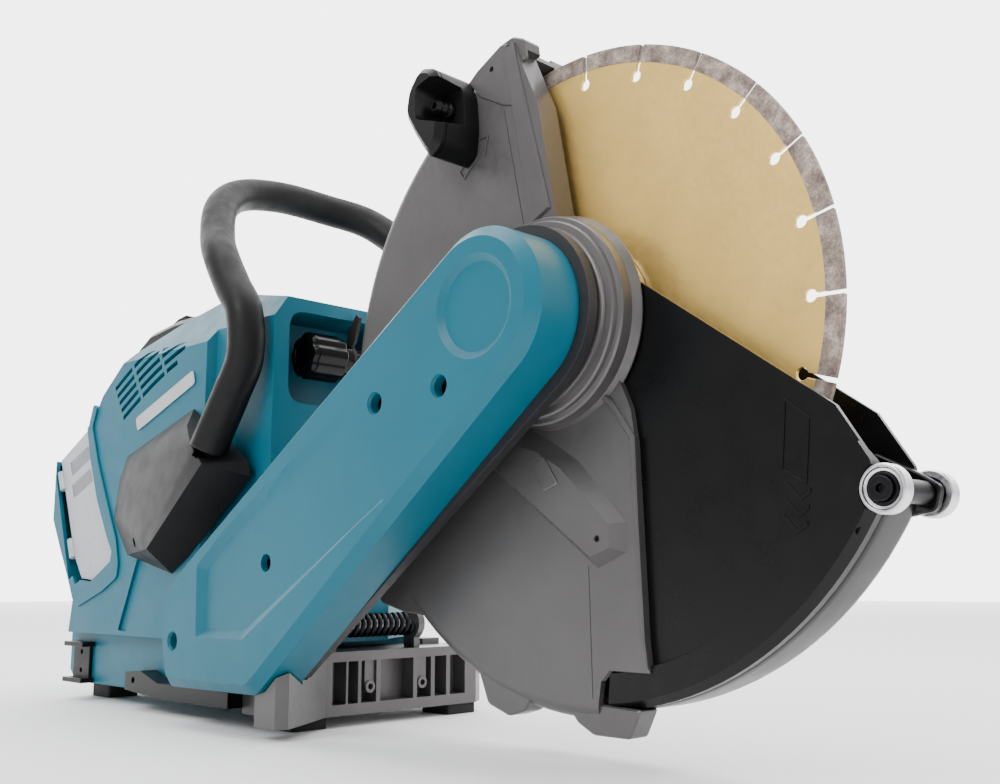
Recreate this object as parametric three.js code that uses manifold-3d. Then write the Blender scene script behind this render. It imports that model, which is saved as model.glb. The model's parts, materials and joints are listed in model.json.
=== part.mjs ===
// Battery power cutter (rescue saw) with a 355 mm diamond wheel.
// Millimetres, +X forward, +Y to the machine's left, +Z up.
// Everything is laid out around the wheel axle and re-centred at the end,
// so that the origin is at the middle of the footprint, on the ground.

import * as THREE from 'three';
import { ConvexGeometry } from 'three/addons/geometries/ConvexGeometry.js';
import { mergeVertices } from 'three/addons/utils/BufferGeometryUtils.js';
import Module from 'manifold-3d';

const wasm = await Module();
wasm.setup();

// ---------------------------------------------------------------- driving dimensions

const GAP = 0.3;                  // left between pieces that touch
const RUN = 0.6;                  // left around a piece that turns

const WHEEL_D = 355;              // cutting wheel, 14 inch
const WHEEL_T = 3.2;              // segments
const CORE_T = 2.4;               // steel core
const SEGMENTS = 24;
const SEGMENT_H = 10.5;
const SLOT_W = 2.6;
const SLOT_HOLE_R = 3.6;
const SLOT_HOLE_AT = 19.5;        // hole centre, in from the wheel's edge
const SLOT_PHASE = 88.05;         // degrees, first slot from +X towards +Z
const AXLE_Z = 257.5;             // axle above the ground

const ARM_FALL = 28.5;             // degrees, the arm runs down to the rear
const BELT_CENTRES = 336;         // axle to motor shaft
const DRIVEN_PULLEY_R = 32;
const MOTOR_PULLEY_R = 16;
const BELT_T = 3;
const BELT_W = 14;
const SPINDLE_R = 8.5;
const BEARING_R = 20;
const FLANGE_R = 55;

const COVER_OUT_Y = -94;          // belt cover's outer face
const COVER_IN_Y = -57;
const COVER_R = 47;               // round end over the axle
const COVER_WALL = 3;
const COVER_CHAMFER = 6;
const COVER_SCREWS = [[-28, 215], [-86, 211], [-201, 116], [-313, 61]];
const COVER_SCREW_R = 4.6;
const COVER_SCREW_DEPTH = 14;
const ARM_R = 54;
const ARM_IN_Y = -49.3;           // arm plate, from COVER_IN_Y + GAP to here
const ARM_BOSS_R = 40;            // tube that the guard turns on
const ARM_BOSS_END_Y = -24;

const GUARD_OUT_R = 212;
const GUARD_OFFSET = [20, -17.5]; // guard's centre from the axle, so it is eccentric
const GUARD_HALF_W = 27;
const GUARD_WALL = 4;
const GUARD_HUB_R = 63;
const GUARD_OPENING_R = 75;       // hole in the outer wall, for changing the wheel
const FRONT_SHELL_STEP = 4.3;     // how far the front shell sits inside the rear one
const FRONT_SHELL_WALL = 3;
const FRONT_SHELL_END = -29.5;    // degrees round the guard's centre, just under the rollers

const ROLLER_ANGLE = -26.4170;    // degrees round the guard's centre, guide roller axis
const ROLLER_INSET = 4.313;       // its distance in from the guard's rim
const ROLLER_R = 12;
const ROLLER_W = 8.3;
const ROLLER_Y = GUARD_HALF_W - 6.4;         // inner face of each roller
const ROLLER_SHAFT_R = 6;

const BODY_HALF_W = 94;           // rear of the housing
const BODY_STEP = 7;              // the front is narrower by this, beside the arm
const BODY_MID_Y = ARM_IN_Y + GAP - BODY_STEP + BODY_HALF_W;
const BODY_STEP_X = -345;
const BODY_WALL = 3;
const BODY_BOTTOM_Z = 58;
const BODY_FRONT_X = -262;
const BODY_TOP_Z = 336;

const STAND_Z = [8, 54];
const STAND_X = [-290, -227];
const STAND_Y = [-48, BODY_MID_Y + BODY_HALF_W + 8];
const STAND_WING = { x: -192, y: -84, rootY: -20 };  // near end, flared forward under the cover
const FOOT_H = 8;
const REAR_FOOT_H = 14;
const PAN_WALL = 3;

const HANDLE_R = 14;
const HANDLE_SPIGOT_R = 9;
const SPRING_R = 9;
const SPRING_WIRE_R = 1.8;
const SPRING_TURNS = 7;
const SPRING_X = -240;
const SPRING_Z = 71;
const SPRING_Y = [-6, 68];        // ends, between the two tabs
const REAR_GRIP_W = 31;
const INLET = [-270, 276];        // axis of the water connector, along Y

const BATTERY = [112, 66, 70];    // along the bay, across the machine, bay depth
const MOTOR_R = 34;
const MOTOR_BORE_R = 20;
const FAN_BLADES = 6;

// ---------------------------------------------------------------- shape helpers

const rad = (degrees) => degrees * Math.PI / 180;
const v2 = (p) => new THREE.Vector2(p[0], p[1]);

function solid(geometry) {
  const bare = geometry.index ? geometry.toNonIndexed() : geometry.clone();
  bare.deleteAttribute('normal');
  bare.deleteAttribute('uv');
  const merged = mergeVertices(bare, 1e-4);
  return new wasm.Manifold(new wasm.Mesh({
    numProp: 3,
    vertProperties: new Float32Array(merged.attributes.position.array),
    triVerts: new Uint32Array(merged.index.array),
  }));
}

function join(...solids) {
  return solids.reduce((a, b) => a.add(b));
}

function cut(base, ...tools) {
  return tools.reduce((a, b) => a.subtract(b), base);
}

function shapeOf(points, holes = []) {
  const shape = new THREE.Shape(points.map(v2));
  for (const hole of holes) shape.holes.push(new THREE.Path(hole.map(v2)));
  return shape;
}

// An outline in X and Z, given thickness along Y.
function slabY(points, y0, y1, holes = []) {
  const g = new THREE.ExtrudeGeometry(shapeOf(points, holes), { depth: y1 - y0, bevelEnabled: false });
  g.rotateX(Math.PI / 2);
  g.translate(0, y1, 0);
  return solid(g);
}

// The same, with the edge of the y0 face chamfered.
function chamferedSlabY(points, y0, y1, chamfer) {
  const g = new THREE.ExtrudeGeometry(shapeOf(points), {
    depth: y1 - y0 - 2 * chamfer, bevelEnabled: true, bevelSegments: 1,
    bevelThickness: chamfer, bevelSize: chamfer, bevelOffset: -chamfer,
  });
  g.rotateX(Math.PI / 2);
  g.translate(0, y1 - chamfer, 0);
  return solid(g).add(slabY(points, y0 + chamfer, y1));
}

// An outline in Y and Z, given thickness along X.
function slabX(points, x0, x1) {
  const g = new THREE.ExtrudeGeometry(shapeOf(points), { depth: x1 - x0, bevelEnabled: false });
  g.applyMatrix4(new THREE.Matrix4().makeBasis(
    new THREE.Vector3(0, 1, 0), new THREE.Vector3(0, 0, 1), new THREE.Vector3(1, 0, 0)));
  g.translate(x0, 0, 0);
  return solid(g);
}

// An outline in X and Y, given thickness along Z.
function slabZ(points, z0, z1) {
  const g = new THREE.ExtrudeGeometry(shapeOf(points), { depth: z1 - z0, bevelEnabled: false });
  g.translate(0, 0, z0);
  return solid(g);
}

function box(x0, x1, y0, y1, z0, z1) {
  const g = new THREE.BoxGeometry(x1 - x0, y1 - y0, z1 - z0);
  g.translate((x0 + x1) / 2, (y0 + y1) / 2, (z0 + z1) / 2);
  return solid(g);
}

// A cylinder along Y.
function rodY(r, y0, y1, x, z, sides = 24) {
  const g = new THREE.CylinderGeometry(r, r, y1 - y0, sides);
  g.translate(x, (y0 + y1) / 2, z);
  return solid(g);
}

// A turned piece about a Y axis: profile points are [radius, y].
function turned(profile, x, z, sides = 28) {
  const g = new THREE.LatheGeometry(profile.map(v2), sides);
  g.translate(x, 0, z);
  const made = solid(g);
  return made.volume() < 0 ? solid(flipped(g)) : made;
}

function flipped(geometry) {
  const g = geometry.clone();
  const order = g.index.array;
  for (let i = 0; i < order.length; i += 3) [order[i], order[i + 1]] = [order[i + 1], order[i]];
  return g;
}

// A ring about a Y axis.
function ringY(rOut, rIn, y0, y1, x, z, sides = 24) {
  return rodY(rOut, y0, y1, x, z, sides).subtract(rodY(rIn, y0 - 1, y1 + 1, x, z, sides));
}

// A cylinder between two points.
function rodBetween(a, b, r, sides = 16) {
  const from = new THREE.Vector3(...a);
  const to = new THREE.Vector3(...b);
  const g = new THREE.CylinderGeometry(r, r, from.distanceTo(to), sides);
  const turn = new THREE.Quaternion().setFromUnitVectors(
    new THREE.Vector3(0, 1, 0), to.clone().sub(from).normalize());
  g.applyQuaternion(turn);
  const mid = from.add(to).multiplyScalar(0.5);
  g.translate(mid.x, mid.y, mid.z);
  return solid(g);
}

// A round bar along a smooth curve through the points.
function bentBar(points, r, steps, sides = 16) {
  const curve = new THREE.CatmullRomCurve3(points.map((p) => new THREE.Vector3(...p)));
  const g = new THREE.ExtrudeGeometry(shapeOf(circle([0, 0], r, sides)), {
    steps, extrudePath: curve, bevelEnabled: false,
  });
  return solid(g);
}

function hullOf(points) {
  return solid(new ConvexGeometry(points.map((p) => new THREE.Vector3(...p))));
}

function circle(centre, r, sides = 32) {
  return arc(centre, r, 0, 360, sides).slice(0, -1);
}

function arc(centre, r, from, to, steps) {
  const points = [];
  for (let i = 0; i <= steps; i++) {
    const a = rad(from + (to - from) * i / steps);
    points.push([centre[0] + r * Math.cos(a), centre[1] + r * Math.sin(a)]);
  }
  return points;
}

// The closed belt-like outline round two circles.
function roundTwo(c1, r1, c2, r2, steps = 16) {
  const dx = c2[0] - c1[0];
  const dy = c2[1] - c1[1];
  const line = Math.atan2(dy, dx) * 180 / Math.PI;
  const lean = Math.acos((r1 - r2) / Math.hypot(dx, dy)) * 180 / Math.PI;
  return [
    ...arc(c1, r1, line + lean, line + 360 - lean, steps),
    ...arc(c2, r2, line - lean, line + lean, steps),
  ];
}

// Corners of an outline rounded to a radius, as far as the sides allow.
function rounded(points, r, steps = 3) {
  const out = [];
  points.forEach((p, i) => {
    const a = v2(points[(i + points.length - 1) % points.length]);
    const b = v2(p);
    const c = v2(points[(i + 1) % points.length]);
    const back = a.clone().sub(b);
    const on = c.clone().sub(b);
    const reach = Math.min(r, back.length() * 0.45, on.length() * 0.45);
    const start = b.clone().add(back.normalize().multiplyScalar(reach));
    const end = b.clone().add(on.normalize().multiplyScalar(reach));
    const bend = new THREE.QuadraticBezierCurve(start, b, end);
    for (const q of bend.getPoints(steps)) out.push([q.x, q.y]);
  });
  return out;
}

// An outline moved in (negative) or out (positive) by a distance.
function offset(points, distance) {
  const area = THREE.ShapeUtils.area(points.map(v2));
  const side = area > 0 ? 1 : -1;
  return points.map((p, i) => {
    const a = v2(points[(i + points.length - 1) % points.length]);
    const b = v2(p);
    const c = v2(points[(i + 1) % points.length]);
    const n1 = new THREE.Vector2(b.y - a.y, a.x - b.x).normalize();
    const n2 = new THREE.Vector2(c.y - b.y, b.x - c.x).normalize();
    const mid = n1.clone().add(n2).normalize();
    const reach = side * distance / Math.max(mid.dot(n1), 0.5);
    return [b.x + mid.x * reach, b.y + mid.y * reach];
  });
}

const mirrorY = (points) => points.map(([x, y, z]) => [x, 2 * BODY_MID_Y - y, z]);

// ---------------------------------------------------------------- materials

function finish(color, roughness, metalness) {
  return new THREE.MeshStandardMaterial({ color, roughness, metalness });
}

const TEAL = finish(0x1f8a9c, 0.5, 0.0);
const CAST_GREY = finish(0x82807f, 0.45, 0.6);
const DARK_GREY = finish(0x4b494c, 0.55, 0.1);
const BLACK = finish(0x202022, 0.45, 0.0);
const RUBBER = finish(0x1a1a1b, 0.8, 0.0);
const STEEL = finish(0xb8bcc0, 0.3, 1.0);
const GOLD = finish(0xe0c07a, 0.35, 0.6);
const LIGHT = finish(0xd6d9dc, 0.35, 0.0);
const COPPER = finish(0xa8643a, 0.4, 0.9);
const BOARD = finish(0x2e5a3c, 0.6, 0.0);

const root = new THREE.Group();

function add(name, made, material) {
  const m = made.getMesh();
  const g = new THREE.BufferGeometry();
  const positions = new Float32Array(m.numVert * 3);
  for (let i = 0; i < m.numVert; i++) {
    for (let k = 0; k < 3; k++) positions[3 * i + k] = m.vertProperties[i * m.numProp + k];
  }
  g.setAttribute('position', new THREE.BufferAttribute(positions, 3));
  g.setIndex(new THREE.BufferAttribute(new Uint32Array(m.triVerts), 1));
  g.computeVertexNormals();
  const mesh = new THREE.Mesh(g, material);
  mesh.name = name;
  root.add(mesh);
}

// ---------------------------------------------------------------- places worked out once

const AXLE = [0, AXLE_Z];
const MOTOR = [
  -BELT_CENTRES * Math.cos(rad(ARM_FALL)),
  AXLE_Z - BELT_CENTRES * Math.sin(rad(ARM_FALL)),
];
const GUARD_CENTRE = [GUARD_OFFSET[0], AXLE_Z + GUARD_OFFSET[1]];
const ROLLER_AT = onGuard(GUARD_OUT_R - ROLLER_INSET, ROLLER_ANGLE);
const PULLEY_Y = [COVER_OUT_Y + 12, COVER_OUT_Y + 12 + BELT_W + 3];
const BEARING_A_Y = [COVER_IN_Y + 3, COVER_IN_Y + 15];
const BEARING_B_Y = [ARM_BOSS_END_Y - 13, ARM_BOSS_END_Y - 1];
const FLANGE_IN_Y = [-WHEEL_T / 2 - GAP - 8, -WHEEL_T / 2 - GAP];
const BODY_RIGHT_Y = BODY_MID_Y - BODY_HALF_W;
const BODY_LEFT_Y = BODY_MID_Y + BODY_HALF_W;

// A point at a distance and a turn, in degrees, from the guard's centre.
function onGuard(r, degrees) {
  return [GUARD_CENTRE[0] + r * Math.cos(rad(degrees)), GUARD_CENTRE[1] + r * Math.sin(rad(degrees))];
}

// ---------------------------------------------------------------- the wheel and its drive

function wheelOutline() {
  const r = WHEEL_D / 2;
  const holeAt = r - SLOT_HOLE_AT;
  const halfSlot = SLOT_W / 2;
  const points = [];
  for (let i = 0; i < SEGMENTS; i++) {
    const a = SLOT_PHASE + 360 * i / SEGMENTS;
    const along = (radial, across) => [
      AXLE[0] + radial * Math.cos(rad(a)) - across * Math.sin(rad(a)),
      AXLE[1] + radial * Math.sin(rad(a)) + across * Math.cos(rad(a)),
    ];
    const mouth = Math.sqrt(r * r - halfSlot * halfSlot);
    const neck = holeAt + Math.sqrt(SLOT_HOLE_R ** 2 - halfSlot ** 2);
    points.push(along(mouth, -halfSlot), along(neck, -halfSlot));
    for (const turn of [-90, 180, 90]) {
      points.push(along(holeAt + SLOT_HOLE_R * Math.cos(rad(turn)), SLOT_HOLE_R * Math.sin(rad(turn))));
    }
    points.push(along(neck, halfSlot), along(mouth, halfSlot));
    const edge = halfSlot / r * 180 / Math.PI;
    points.push(...arc(AXLE, r, a + edge, a + 360 / SEGMENTS - edge, 3).slice(1, -1));
  }
  return points;
}

function diamondWheel() {
  const coreR = WHEEL_D / 2 - SEGMENT_H;
  const thick = slabY(wheelOutline(), -WHEEL_T / 2, WHEEL_T / 2, [circle(AXLE, SPINDLE_R + GAP, 24)]);
  const above = rodY(coreR, CORE_T / 2, WHEEL_T, ...AXLE, 48);
  const below = rodY(coreR, -WHEEL_T, -CORE_T / 2, ...AXLE, 48);
  return cut(thick, above, below);
}

function wheelGroup() {
  const coreY = CORE_T / 2 + GAP;
  const shaftEnd = coreY + 16;
  const collarY = FLANGE_IN_Y[0] - GAP;
  add('wheel_spindle', turned([
    [0, PULLEY_Y[0] - 4], [SPINDLE_R - 1, PULLEY_Y[0] - 4], [SPINDLE_R, PULLEY_Y[0] - 3],
    [SPINDLE_R, BEARING_B_Y[1] + GAP], [SPINDLE_R + 5, BEARING_B_Y[1] + GAP],
    [SPINDLE_R + 5, collarY], [SPINDLE_R, collarY], [SPINDLE_R, shaftEnd - 1],
    [SPINDLE_R - 1, shaftEnd], [0, shaftEnd],
  ], ...AXLE, 16), STEEL);
  add('driven_pulley', cut(turned([
    [SPINDLE_R + GAP, PULLEY_Y[0]], [DRIVEN_PULLEY_R + 2, PULLEY_Y[0]],
    [DRIVEN_PULLEY_R + 2, PULLEY_Y[0] + 1], [DRIVEN_PULLEY_R, PULLEY_Y[0] + 1.5],
    [DRIVEN_PULLEY_R, PULLEY_Y[1]], [SPINDLE_R + GAP, PULLEY_Y[1]],
    [SPINDLE_R + GAP, PULLEY_Y[0]],
  ], ...AXLE, 20)), DARK_GREY);
  add('inner_flange', turned([
    [SPINDLE_R + GAP, FLANGE_IN_Y[0]], [FLANGE_R - 12, FLANGE_IN_Y[0]],
    [FLANGE_R, FLANGE_IN_Y[1] - 4], [FLANGE_R, FLANGE_IN_Y[1]],
    [SPINDLE_R + GAP, FLANGE_IN_Y[1]], [SPINDLE_R + GAP, FLANGE_IN_Y[0]],
  ], ...AXLE), STEEL);
  add('diamond_wheel', diamondWheel(), GOLD);
  add('outer_flange', turned([
    [SPINDLE_R + GAP, coreY], [FLANGE_R, coreY], [FLANGE_R, coreY + 4],
    [FLANGE_R - 12, coreY + 8], [SPINDLE_R + GAP, coreY + 8], [SPINDLE_R + GAP, coreY],
  ], ...AXLE), STEEL);
  const nutY = coreY + 8 + GAP;
  add('wheel_bolt', join(
    rodY(15, nutY, nutY + 12, ...AXLE, 6),
    rodY(20, nutY, nutY + 2.5, ...AXLE, 24),
  ).subtract(rodY(SPINDLE_R + GAP, nutY - 1, shaftEnd + GAP, ...AXLE, 24)), DARK_GREY);
}

function spindleBearing(name, [y0, y1]) {
  add(name, turned([
    [SPINDLE_R + GAP, y0], [BEARING_R, y0], [BEARING_R, y1], [SPINDLE_R + GAP, y1],
    [SPINDLE_R + GAP, y0],
  ], ...AXLE, 16), STEEL);
}

function driveBelt() {
  const y0 = PULLEY_Y[0] + 2;
  const outer = roundTwo(AXLE, DRIVEN_PULLEY_R + GAP + BELT_T, MOTOR, MOTOR_PULLEY_R + GAP + BELT_T, 12);
  const inner = roundTwo(AXLE, DRIVEN_PULLEY_R + GAP, MOTOR, MOTOR_PULLEY_R + GAP, 12);
  add('drive_belt', slabY(outer, y0, y0 + BELT_W, [inner]), RUBBER);
}

// ---------------------------------------------------------------- motor

function motorGroup() {
  const stator = [-22, 42];
  const shaftR = 6;
  const rotorR = MOTOR_BORE_R - RUN;
  add('motor_stator', ringY(MOTOR_R, MOTOR_BORE_R, stator[0], stator[1], ...MOTOR, 20), COPPER);
  add('motor_rotor', turned([
    [0, PULLEY_Y[0] - 3], [shaftR, PULLEY_Y[0] - 3], [shaftR, stator[0] + 3],
    [rotorR, stator[0] + 4], [rotorR, stator[1] - 4], [shaftR, stator[1] - 3],
    [shaftR, stator[1] + 40], [0, stator[1] + 40],
  ], ...MOTOR, 16), STEEL);
  add('motor_pulley', turned([
    [shaftR + GAP, PULLEY_Y[0]], [MOTOR_PULLEY_R, PULLEY_Y[0]], [MOTOR_PULLEY_R, PULLEY_Y[1]],
    [shaftR + GAP, PULLEY_Y[1]], [shaftR + GAP, PULLEY_Y[0]],
  ], ...MOTOR, 16), DARK_GREY);
  const fanY = stator[1] + 5;
  const hub = ringY(12, shaftR + GAP, fanY, fanY + 12, ...MOTOR, 16);
  const disc = ringY(MOTOR_R - 2, shaftR + GAP, fanY, fanY + 2, ...MOTOR, 16);
  const blades = [];
  for (let i = 0; i < FAN_BLADES; i++) {
    const blade = new THREE.BoxGeometry(MOTOR_R - 14, 9, 1.6);
    blade.translate((MOTOR_R - 14) / 2 + 11, fanY + 5.5, 0);
    blade.rotateY(rad(360 / FAN_BLADES * i));
    blade.translate(MOTOR[0], 0, MOTOR[1]);
    blades.push(solid(blade));
  }
  add('cooling_fan', join(hub, disc, ...blades), BLACK);
  const bearingY = stator[1] + 24;
  add('motor_bearing_left', ringY(13, shaftR + GAP, bearingY, bearingY + 9, ...MOTOR, 16), STEEL);
  add('motor_bearing_right', ringY(13, shaftR + GAP, COVER_IN_Y + 2, COVER_IN_Y + 11, ...MOTOR, 16), STEEL);
}

// ---------------------------------------------------------------- belt arm and cover

// Side outline of the cover: round over the axle, flat underneath, blunt at the rear.
function coverOutline() {
  const bottomZ = 28;
  return [
    ...arc(AXLE, COVER_R, -55, 122, 20),
    [-271, 140], [-307, 117], [-322, 103], [-331, 90], [-334, 76],
    [-332, 56], [-326, bottomZ], [-217, bottomZ + 2], [-208, 33],
  ];
}

function beltCover() {
  const outline = coverOutline();
  const shell = chamferedSlabY(outline, COVER_OUT_Y, COVER_IN_Y, COVER_CHAMFER);
  const inside = chamferedSlabY(offset(outline, -COVER_WALL), COVER_OUT_Y + COVER_WALL + 3,
    COVER_IN_Y + 1, COVER_CHAMFER);
  const recess = rodY(26, COVER_OUT_Y - 1, COVER_OUT_Y + 3, ...AXLE, 40);
  const panel = slabY([[-300, 92], [-246, 128], [-118, 206], [-96, 190], [-232, 78], [-300, 78]],
    COVER_OUT_Y - 1, COVER_OUT_Y + 2.5);
  const posts = COVER_SCREWS.map(([x, z]) => rodY(COVER_SCREW_R + 4, COVER_OUT_Y + 3, COVER_IN_Y, x, z, 10));
  const bores = COVER_SCREWS.map(([x, z]) => join(
    rodY(COVER_SCREW_R, COVER_OUT_Y - 1, COVER_OUT_Y + COVER_SCREW_DEPTH, x, z, 12),
    rodY(2.6, COVER_OUT_Y, COVER_IN_Y + 1, x, z, 8),
  ));
  const beltWay = slabY(roundTwo(AXLE, DRIVEN_PULLEY_R + BELT_T + 2, MOTOR, MOTOR_PULLEY_R + BELT_T + 2, 16),
    COVER_OUT_Y + COVER_WALL + 4, COVER_IN_Y + 1);
  return cut(join(shell.subtract(inside), ...posts).subtract(beltWay), recess, panel, ...bores);
}

function coverScrew(name, [x, z]) {
  const seat = COVER_OUT_Y + COVER_SCREW_DEPTH;
  const head = rodY(COVER_SCREW_R - GAP, seat - 4.5, seat - GAP, x, z, 12);
  const shank = rodY(2.2, seat - 1, COVER_IN_Y + 4, x, z, 8);
  add(name, join(head, shank).subtract(rodY(2, seat - 5, seat - 2, x, z, 6)), STEEL);
}

function armOutline() {
  return [
    ...arc(AXLE, ARM_R, -52, 125, 20),
    [-268, 138], [-300, 120], [-320, 102], [-329, 78], [-320, 34], [-232, 34], [-205, 39],
  ];
}

function beltArm() {
  const y0 = COVER_IN_Y + GAP;
  const plate = slabY(armOutline(), y0, ARM_IN_Y);
  const boss = rodY(ARM_BOSS_R, y0, ARM_BOSS_END_Y, ...AXLE, 36);
  const bores = [
    rodY(BEARING_R + GAP, y0 - 1, BEARING_A_Y[1] + GAP, ...AXLE, 32),
    rodY(BEARING_R + GAP, BEARING_B_Y[0] - GAP, ARM_BOSS_END_Y + 1, ...AXLE, 32),
    rodY(SPINDLE_R + 2, y0 - 1, ARM_BOSS_END_Y + 1, ...AXLE, 24),
    rodY(13 + GAP, y0 - 1, ARM_IN_Y + 1, ...MOTOR, 24),
    ...COVER_SCREWS.map(([x, z]) => rodY(2.6, y0 - 1, y0 + 5, x, z, 8)),
  ];
  add('belt_arm', cut(plate.add(boss), ...bores), DARK_GREY);
}

// ---------------------------------------------------------------- wheel guard

// Edge of the opening on the rear shell, and the seam between the two shells.
const OPENING_EDGE = [[-33, 448], [-12, 402], [6, 308]];
const SEAM = [[58, 200], [61, 181], [63, 137], [66, 73], [68, 56]];
const SEAM_FOOT = [[34, 54], [30, 26]];

function angleOn(centre, [x, z]) {
  return Math.atan2(z - centre[1], x - centre[0]) * 180 / Math.PI;
}

// Wall of the rear shell as seen from the side: rim arc, opening edge, hub, seam.
function rearWallOutline(r) {
  const top = angleOn(GUARD_CENTRE, OPENING_EDGE[0]);
  const bottom = angleOn(GUARD_CENTRE, SEAM_FOOT[1]);
  return [
    ...arc(GUARD_CENTRE, r, top, 360 + bottom, 28),
    ...SEAM_FOOT.slice(0, 1), ...SEAM.slice().reverse(), [40, 240], [6, 290], [6, 308],
    ...OPENING_EDGE.slice(0, 2).reverse(),
  ];
}

function guardShell() {
  const outer = GUARD_HALF_W;
  const inner = GUARD_HALF_W - GUARD_WALL;
  const outline = rearWallOutline(GUARD_OUT_R);
  const nearWall = slabY(outline, -outer, -inner);
  const wheelOpening = rodY(GUARD_OPENING_R, inner - 1, outer + 1, ...AXLE, 40);
  const farWall = slabY(outline, inner, outer).subtract(wheelOpening);
  const centre = GUARD_CENTRE;
  const bandStart = angleOn(centre, OPENING_EDGE[0]);
  const bandEnd = 360 + angleOn(centre, SEAM_FOOT[1]);
  const band = slabY([
    ...arc(centre, GUARD_OUT_R, bandStart, bandEnd, 28),
    ...arc(centre, GUARD_OUT_R - GUARD_WALL, bandEnd, bandStart, 28),
  ], -outer, outer);
  const hub = turned([
    [ARM_BOSS_R + RUN, -47.5], [56, -47.5], [56, -43], [59.5, -42], [GUARD_HUB_R, -38],
    [GUARD_HUB_R, -inner], [ARM_BOSS_R + RUN, -inner], [ARM_BOSS_R + RUN, -47.5],
  ], ...AXLE, 36);
  const hubHole = rodY(ARM_BOSS_R + RUN, -60, -inner + 1, ...AXLE, 36);
  const lip = (y0, y1) => slabY([
    OPENING_EDGE[0], [OPENING_EDGE[0][0] - 3, OPENING_EDGE[0][1] - 2],
    [OPENING_EDGE[1][0] - 3, OPENING_EDGE[1][1]], [OPENING_EDGE[2][0] - 3, OPENING_EDGE[2][1]],
    OPENING_EDGE[2], OPENING_EDGE[1],
  ], y0, y1);
  const pad = chamferedSlabY([
    [-40, 196], [-14, 205], [4, 196], [52, 140], [52, 119], [44, 110], [26, 116], [-62, 172],
  ], -outer - 7, -inner - 1, 3);
  const edgeRib = chamferedSlabY([
    [36, 210], [47, 200], [61, 181], [63, 137], [66, 73],
    [60, 70], [57, 137], [55, 178], [42, 194], [30, 204],
  ], -outer - 3, -inner - 1, 1.5);
  const lugs = [
    [[-66, 48], [-58, 31], [-40, 25], [-28, 30], [-20, 38]],
    [[4, 34], [14, 26], [26, 20], [54, 20], [60, 34]],
    [[-146, 108], [-164, 104], [-162, 90], [-124, 92], [-118, 84], [-110, 98]],
    [[-75, 436], [-46, 452], [-33, 453], [-30, 438], [-70, 424]],
  ].map((points) => slabY(points, -outer + 2, -outer + 16));
  const wheelRoom = rodY(GUARD_OUT_R - GUARD_WALL, -inner, inner, ...GUARD_CENTRE, 64);
  const lugsCut = lugs.map((lug) => lug.subtract(wheelRoom));
  const made = join(nearWall, farWall, band, hub, lip(-outer, -9), lip(9, outer), pad, edgeRib, ...lugsCut);
  const padScrewHole = rodY(1.8, -outer - 9, -outer - 2, 38, 128, 10);
  return cut(made, hubHole, padScrewHole);
}

function frontShellOutline(r) {
  const centre = GUARD_CENTRE;
  const start = angleOn(centre, SEAM_FOOT[1]) - 1;
  return [
    ...arc(centre, r, start, FRONT_SHELL_END, 24),
    onGuard(r - 12.444, -23.5454), onGuard(r - 39.115, -17.2527), [57, 277], [30, 250], [34, 200], [40, 60],
  ];
}

function guardFrontShell() {
  const r = GUARD_OUT_R - FRONT_SHELL_STEP;
  const outer = GUARD_HALF_W - GUARD_WALL - GAP;
  const inner = outer - FRONT_SHELL_WALL;
  const wall = (y0, y1) => slabY(frontShellOutline(r), y0, y1);
  const centre = GUARD_CENTRE;
  const start = angleOn(centre, SEAM_FOOT[1]) - 1;
  const band = slabY([
    ...arc(centre, r, start, FRONT_SHELL_END, 24),
    ...arc(centre, r - FRONT_SHELL_WALL, FRONT_SHELL_END, start, 24),
  ], -outer, outer);
  const rail = slabY([
    ...arc(centre, r, start + 12, FRONT_SHELL_END, 22),
    ...arc(centre, r - 20, FRONT_SHELL_END, start + 12, 22),
  ], -outer - 3, -inner);
  const hubRoom = rodY(GUARD_HUB_R + RUN, -60, 0, ...AXLE, 32);
  const changeRoom = rodY(GUARD_OPENING_R, 0, 60, ...AXLE, 40);
  const shaft = ROLLER_AT;
  const ear = (y0, y1) => slabY([
    [shaft[0] - 26, shaft[1] + 22], [shaft[0] - 2, shaft[1] + 9], [shaft[0] + 8, shaft[1] + 2],
    [shaft[0] + 4, shaft[1] - 9], [shaft[0] - 12, shaft[1] - 12], [shaft[0] - 30, shaft[1] - 6],
  ], y0, y1);
  const ears = [ear(-outer + 3.5, -inner + 2), ear(inner - 2, outer - 3.5)];
  const bore = rodY(ROLLER_SHAFT_R + GAP, -60, 60, ...shaft, 16);
  const room = ROLLER_Y - GAP;
  const rollerRoom = [[-60, -room], [room, 60]].map(([y0, y1]) => rodY(ROLLER_R + 1.5, y0, y1, ...shaft, 24));
  const behindSeam = slabY(offset(rearWallOutline(GUARD_OUT_R), GAP), -outer - 10, -outer);
  const made = join(wall(-outer, -inner), wall(inner, outer), band, rail, ...ears);
  return cut(made, hubRoom, changeRoom, bore, behindSeam, ...rollerRoom);
}

function rollerGroup() {
  const [x, z] = ROLLER_AT;
  const outer = ROLLER_Y + ROLLER_W;
  const socket = rodY(2.4, -outer - 3, -outer + 1, x, z, 6);
  add('roller_shaft', rodY(ROLLER_SHAFT_R, -outer - 2, outer + 2, x, z, 24).subtract(socket), BLACK);
  const roller = (y0, y1) => turned([
    [ROLLER_SHAFT_R + GAP, y0], [ROLLER_R - 1, y0], [ROLLER_R, y0 + 1], [ROLLER_R, y1 - 1],
    [ROLLER_R - 1, y1], [ROLLER_SHAFT_R + GAP, y1], [ROLLER_SHAFT_R + GAP, y0],
  ], x, z, 24);
  add('guard_roller_right', roller(-outer, -ROLLER_Y), STEEL);
  add('guard_roller_left', roller(ROLLER_Y, outer), STEEL);
}

const GRIP_OUTLINE = [
  [-100, 408], [-97, 424], [-86, 437], [-72, 433], [-66, 420], [-64, 396], [-66, 380], [-76, 373], [-90, 392],
];
const GRIP_END_Y = -63;
const NOZZLE = [-79, 411];

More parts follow.
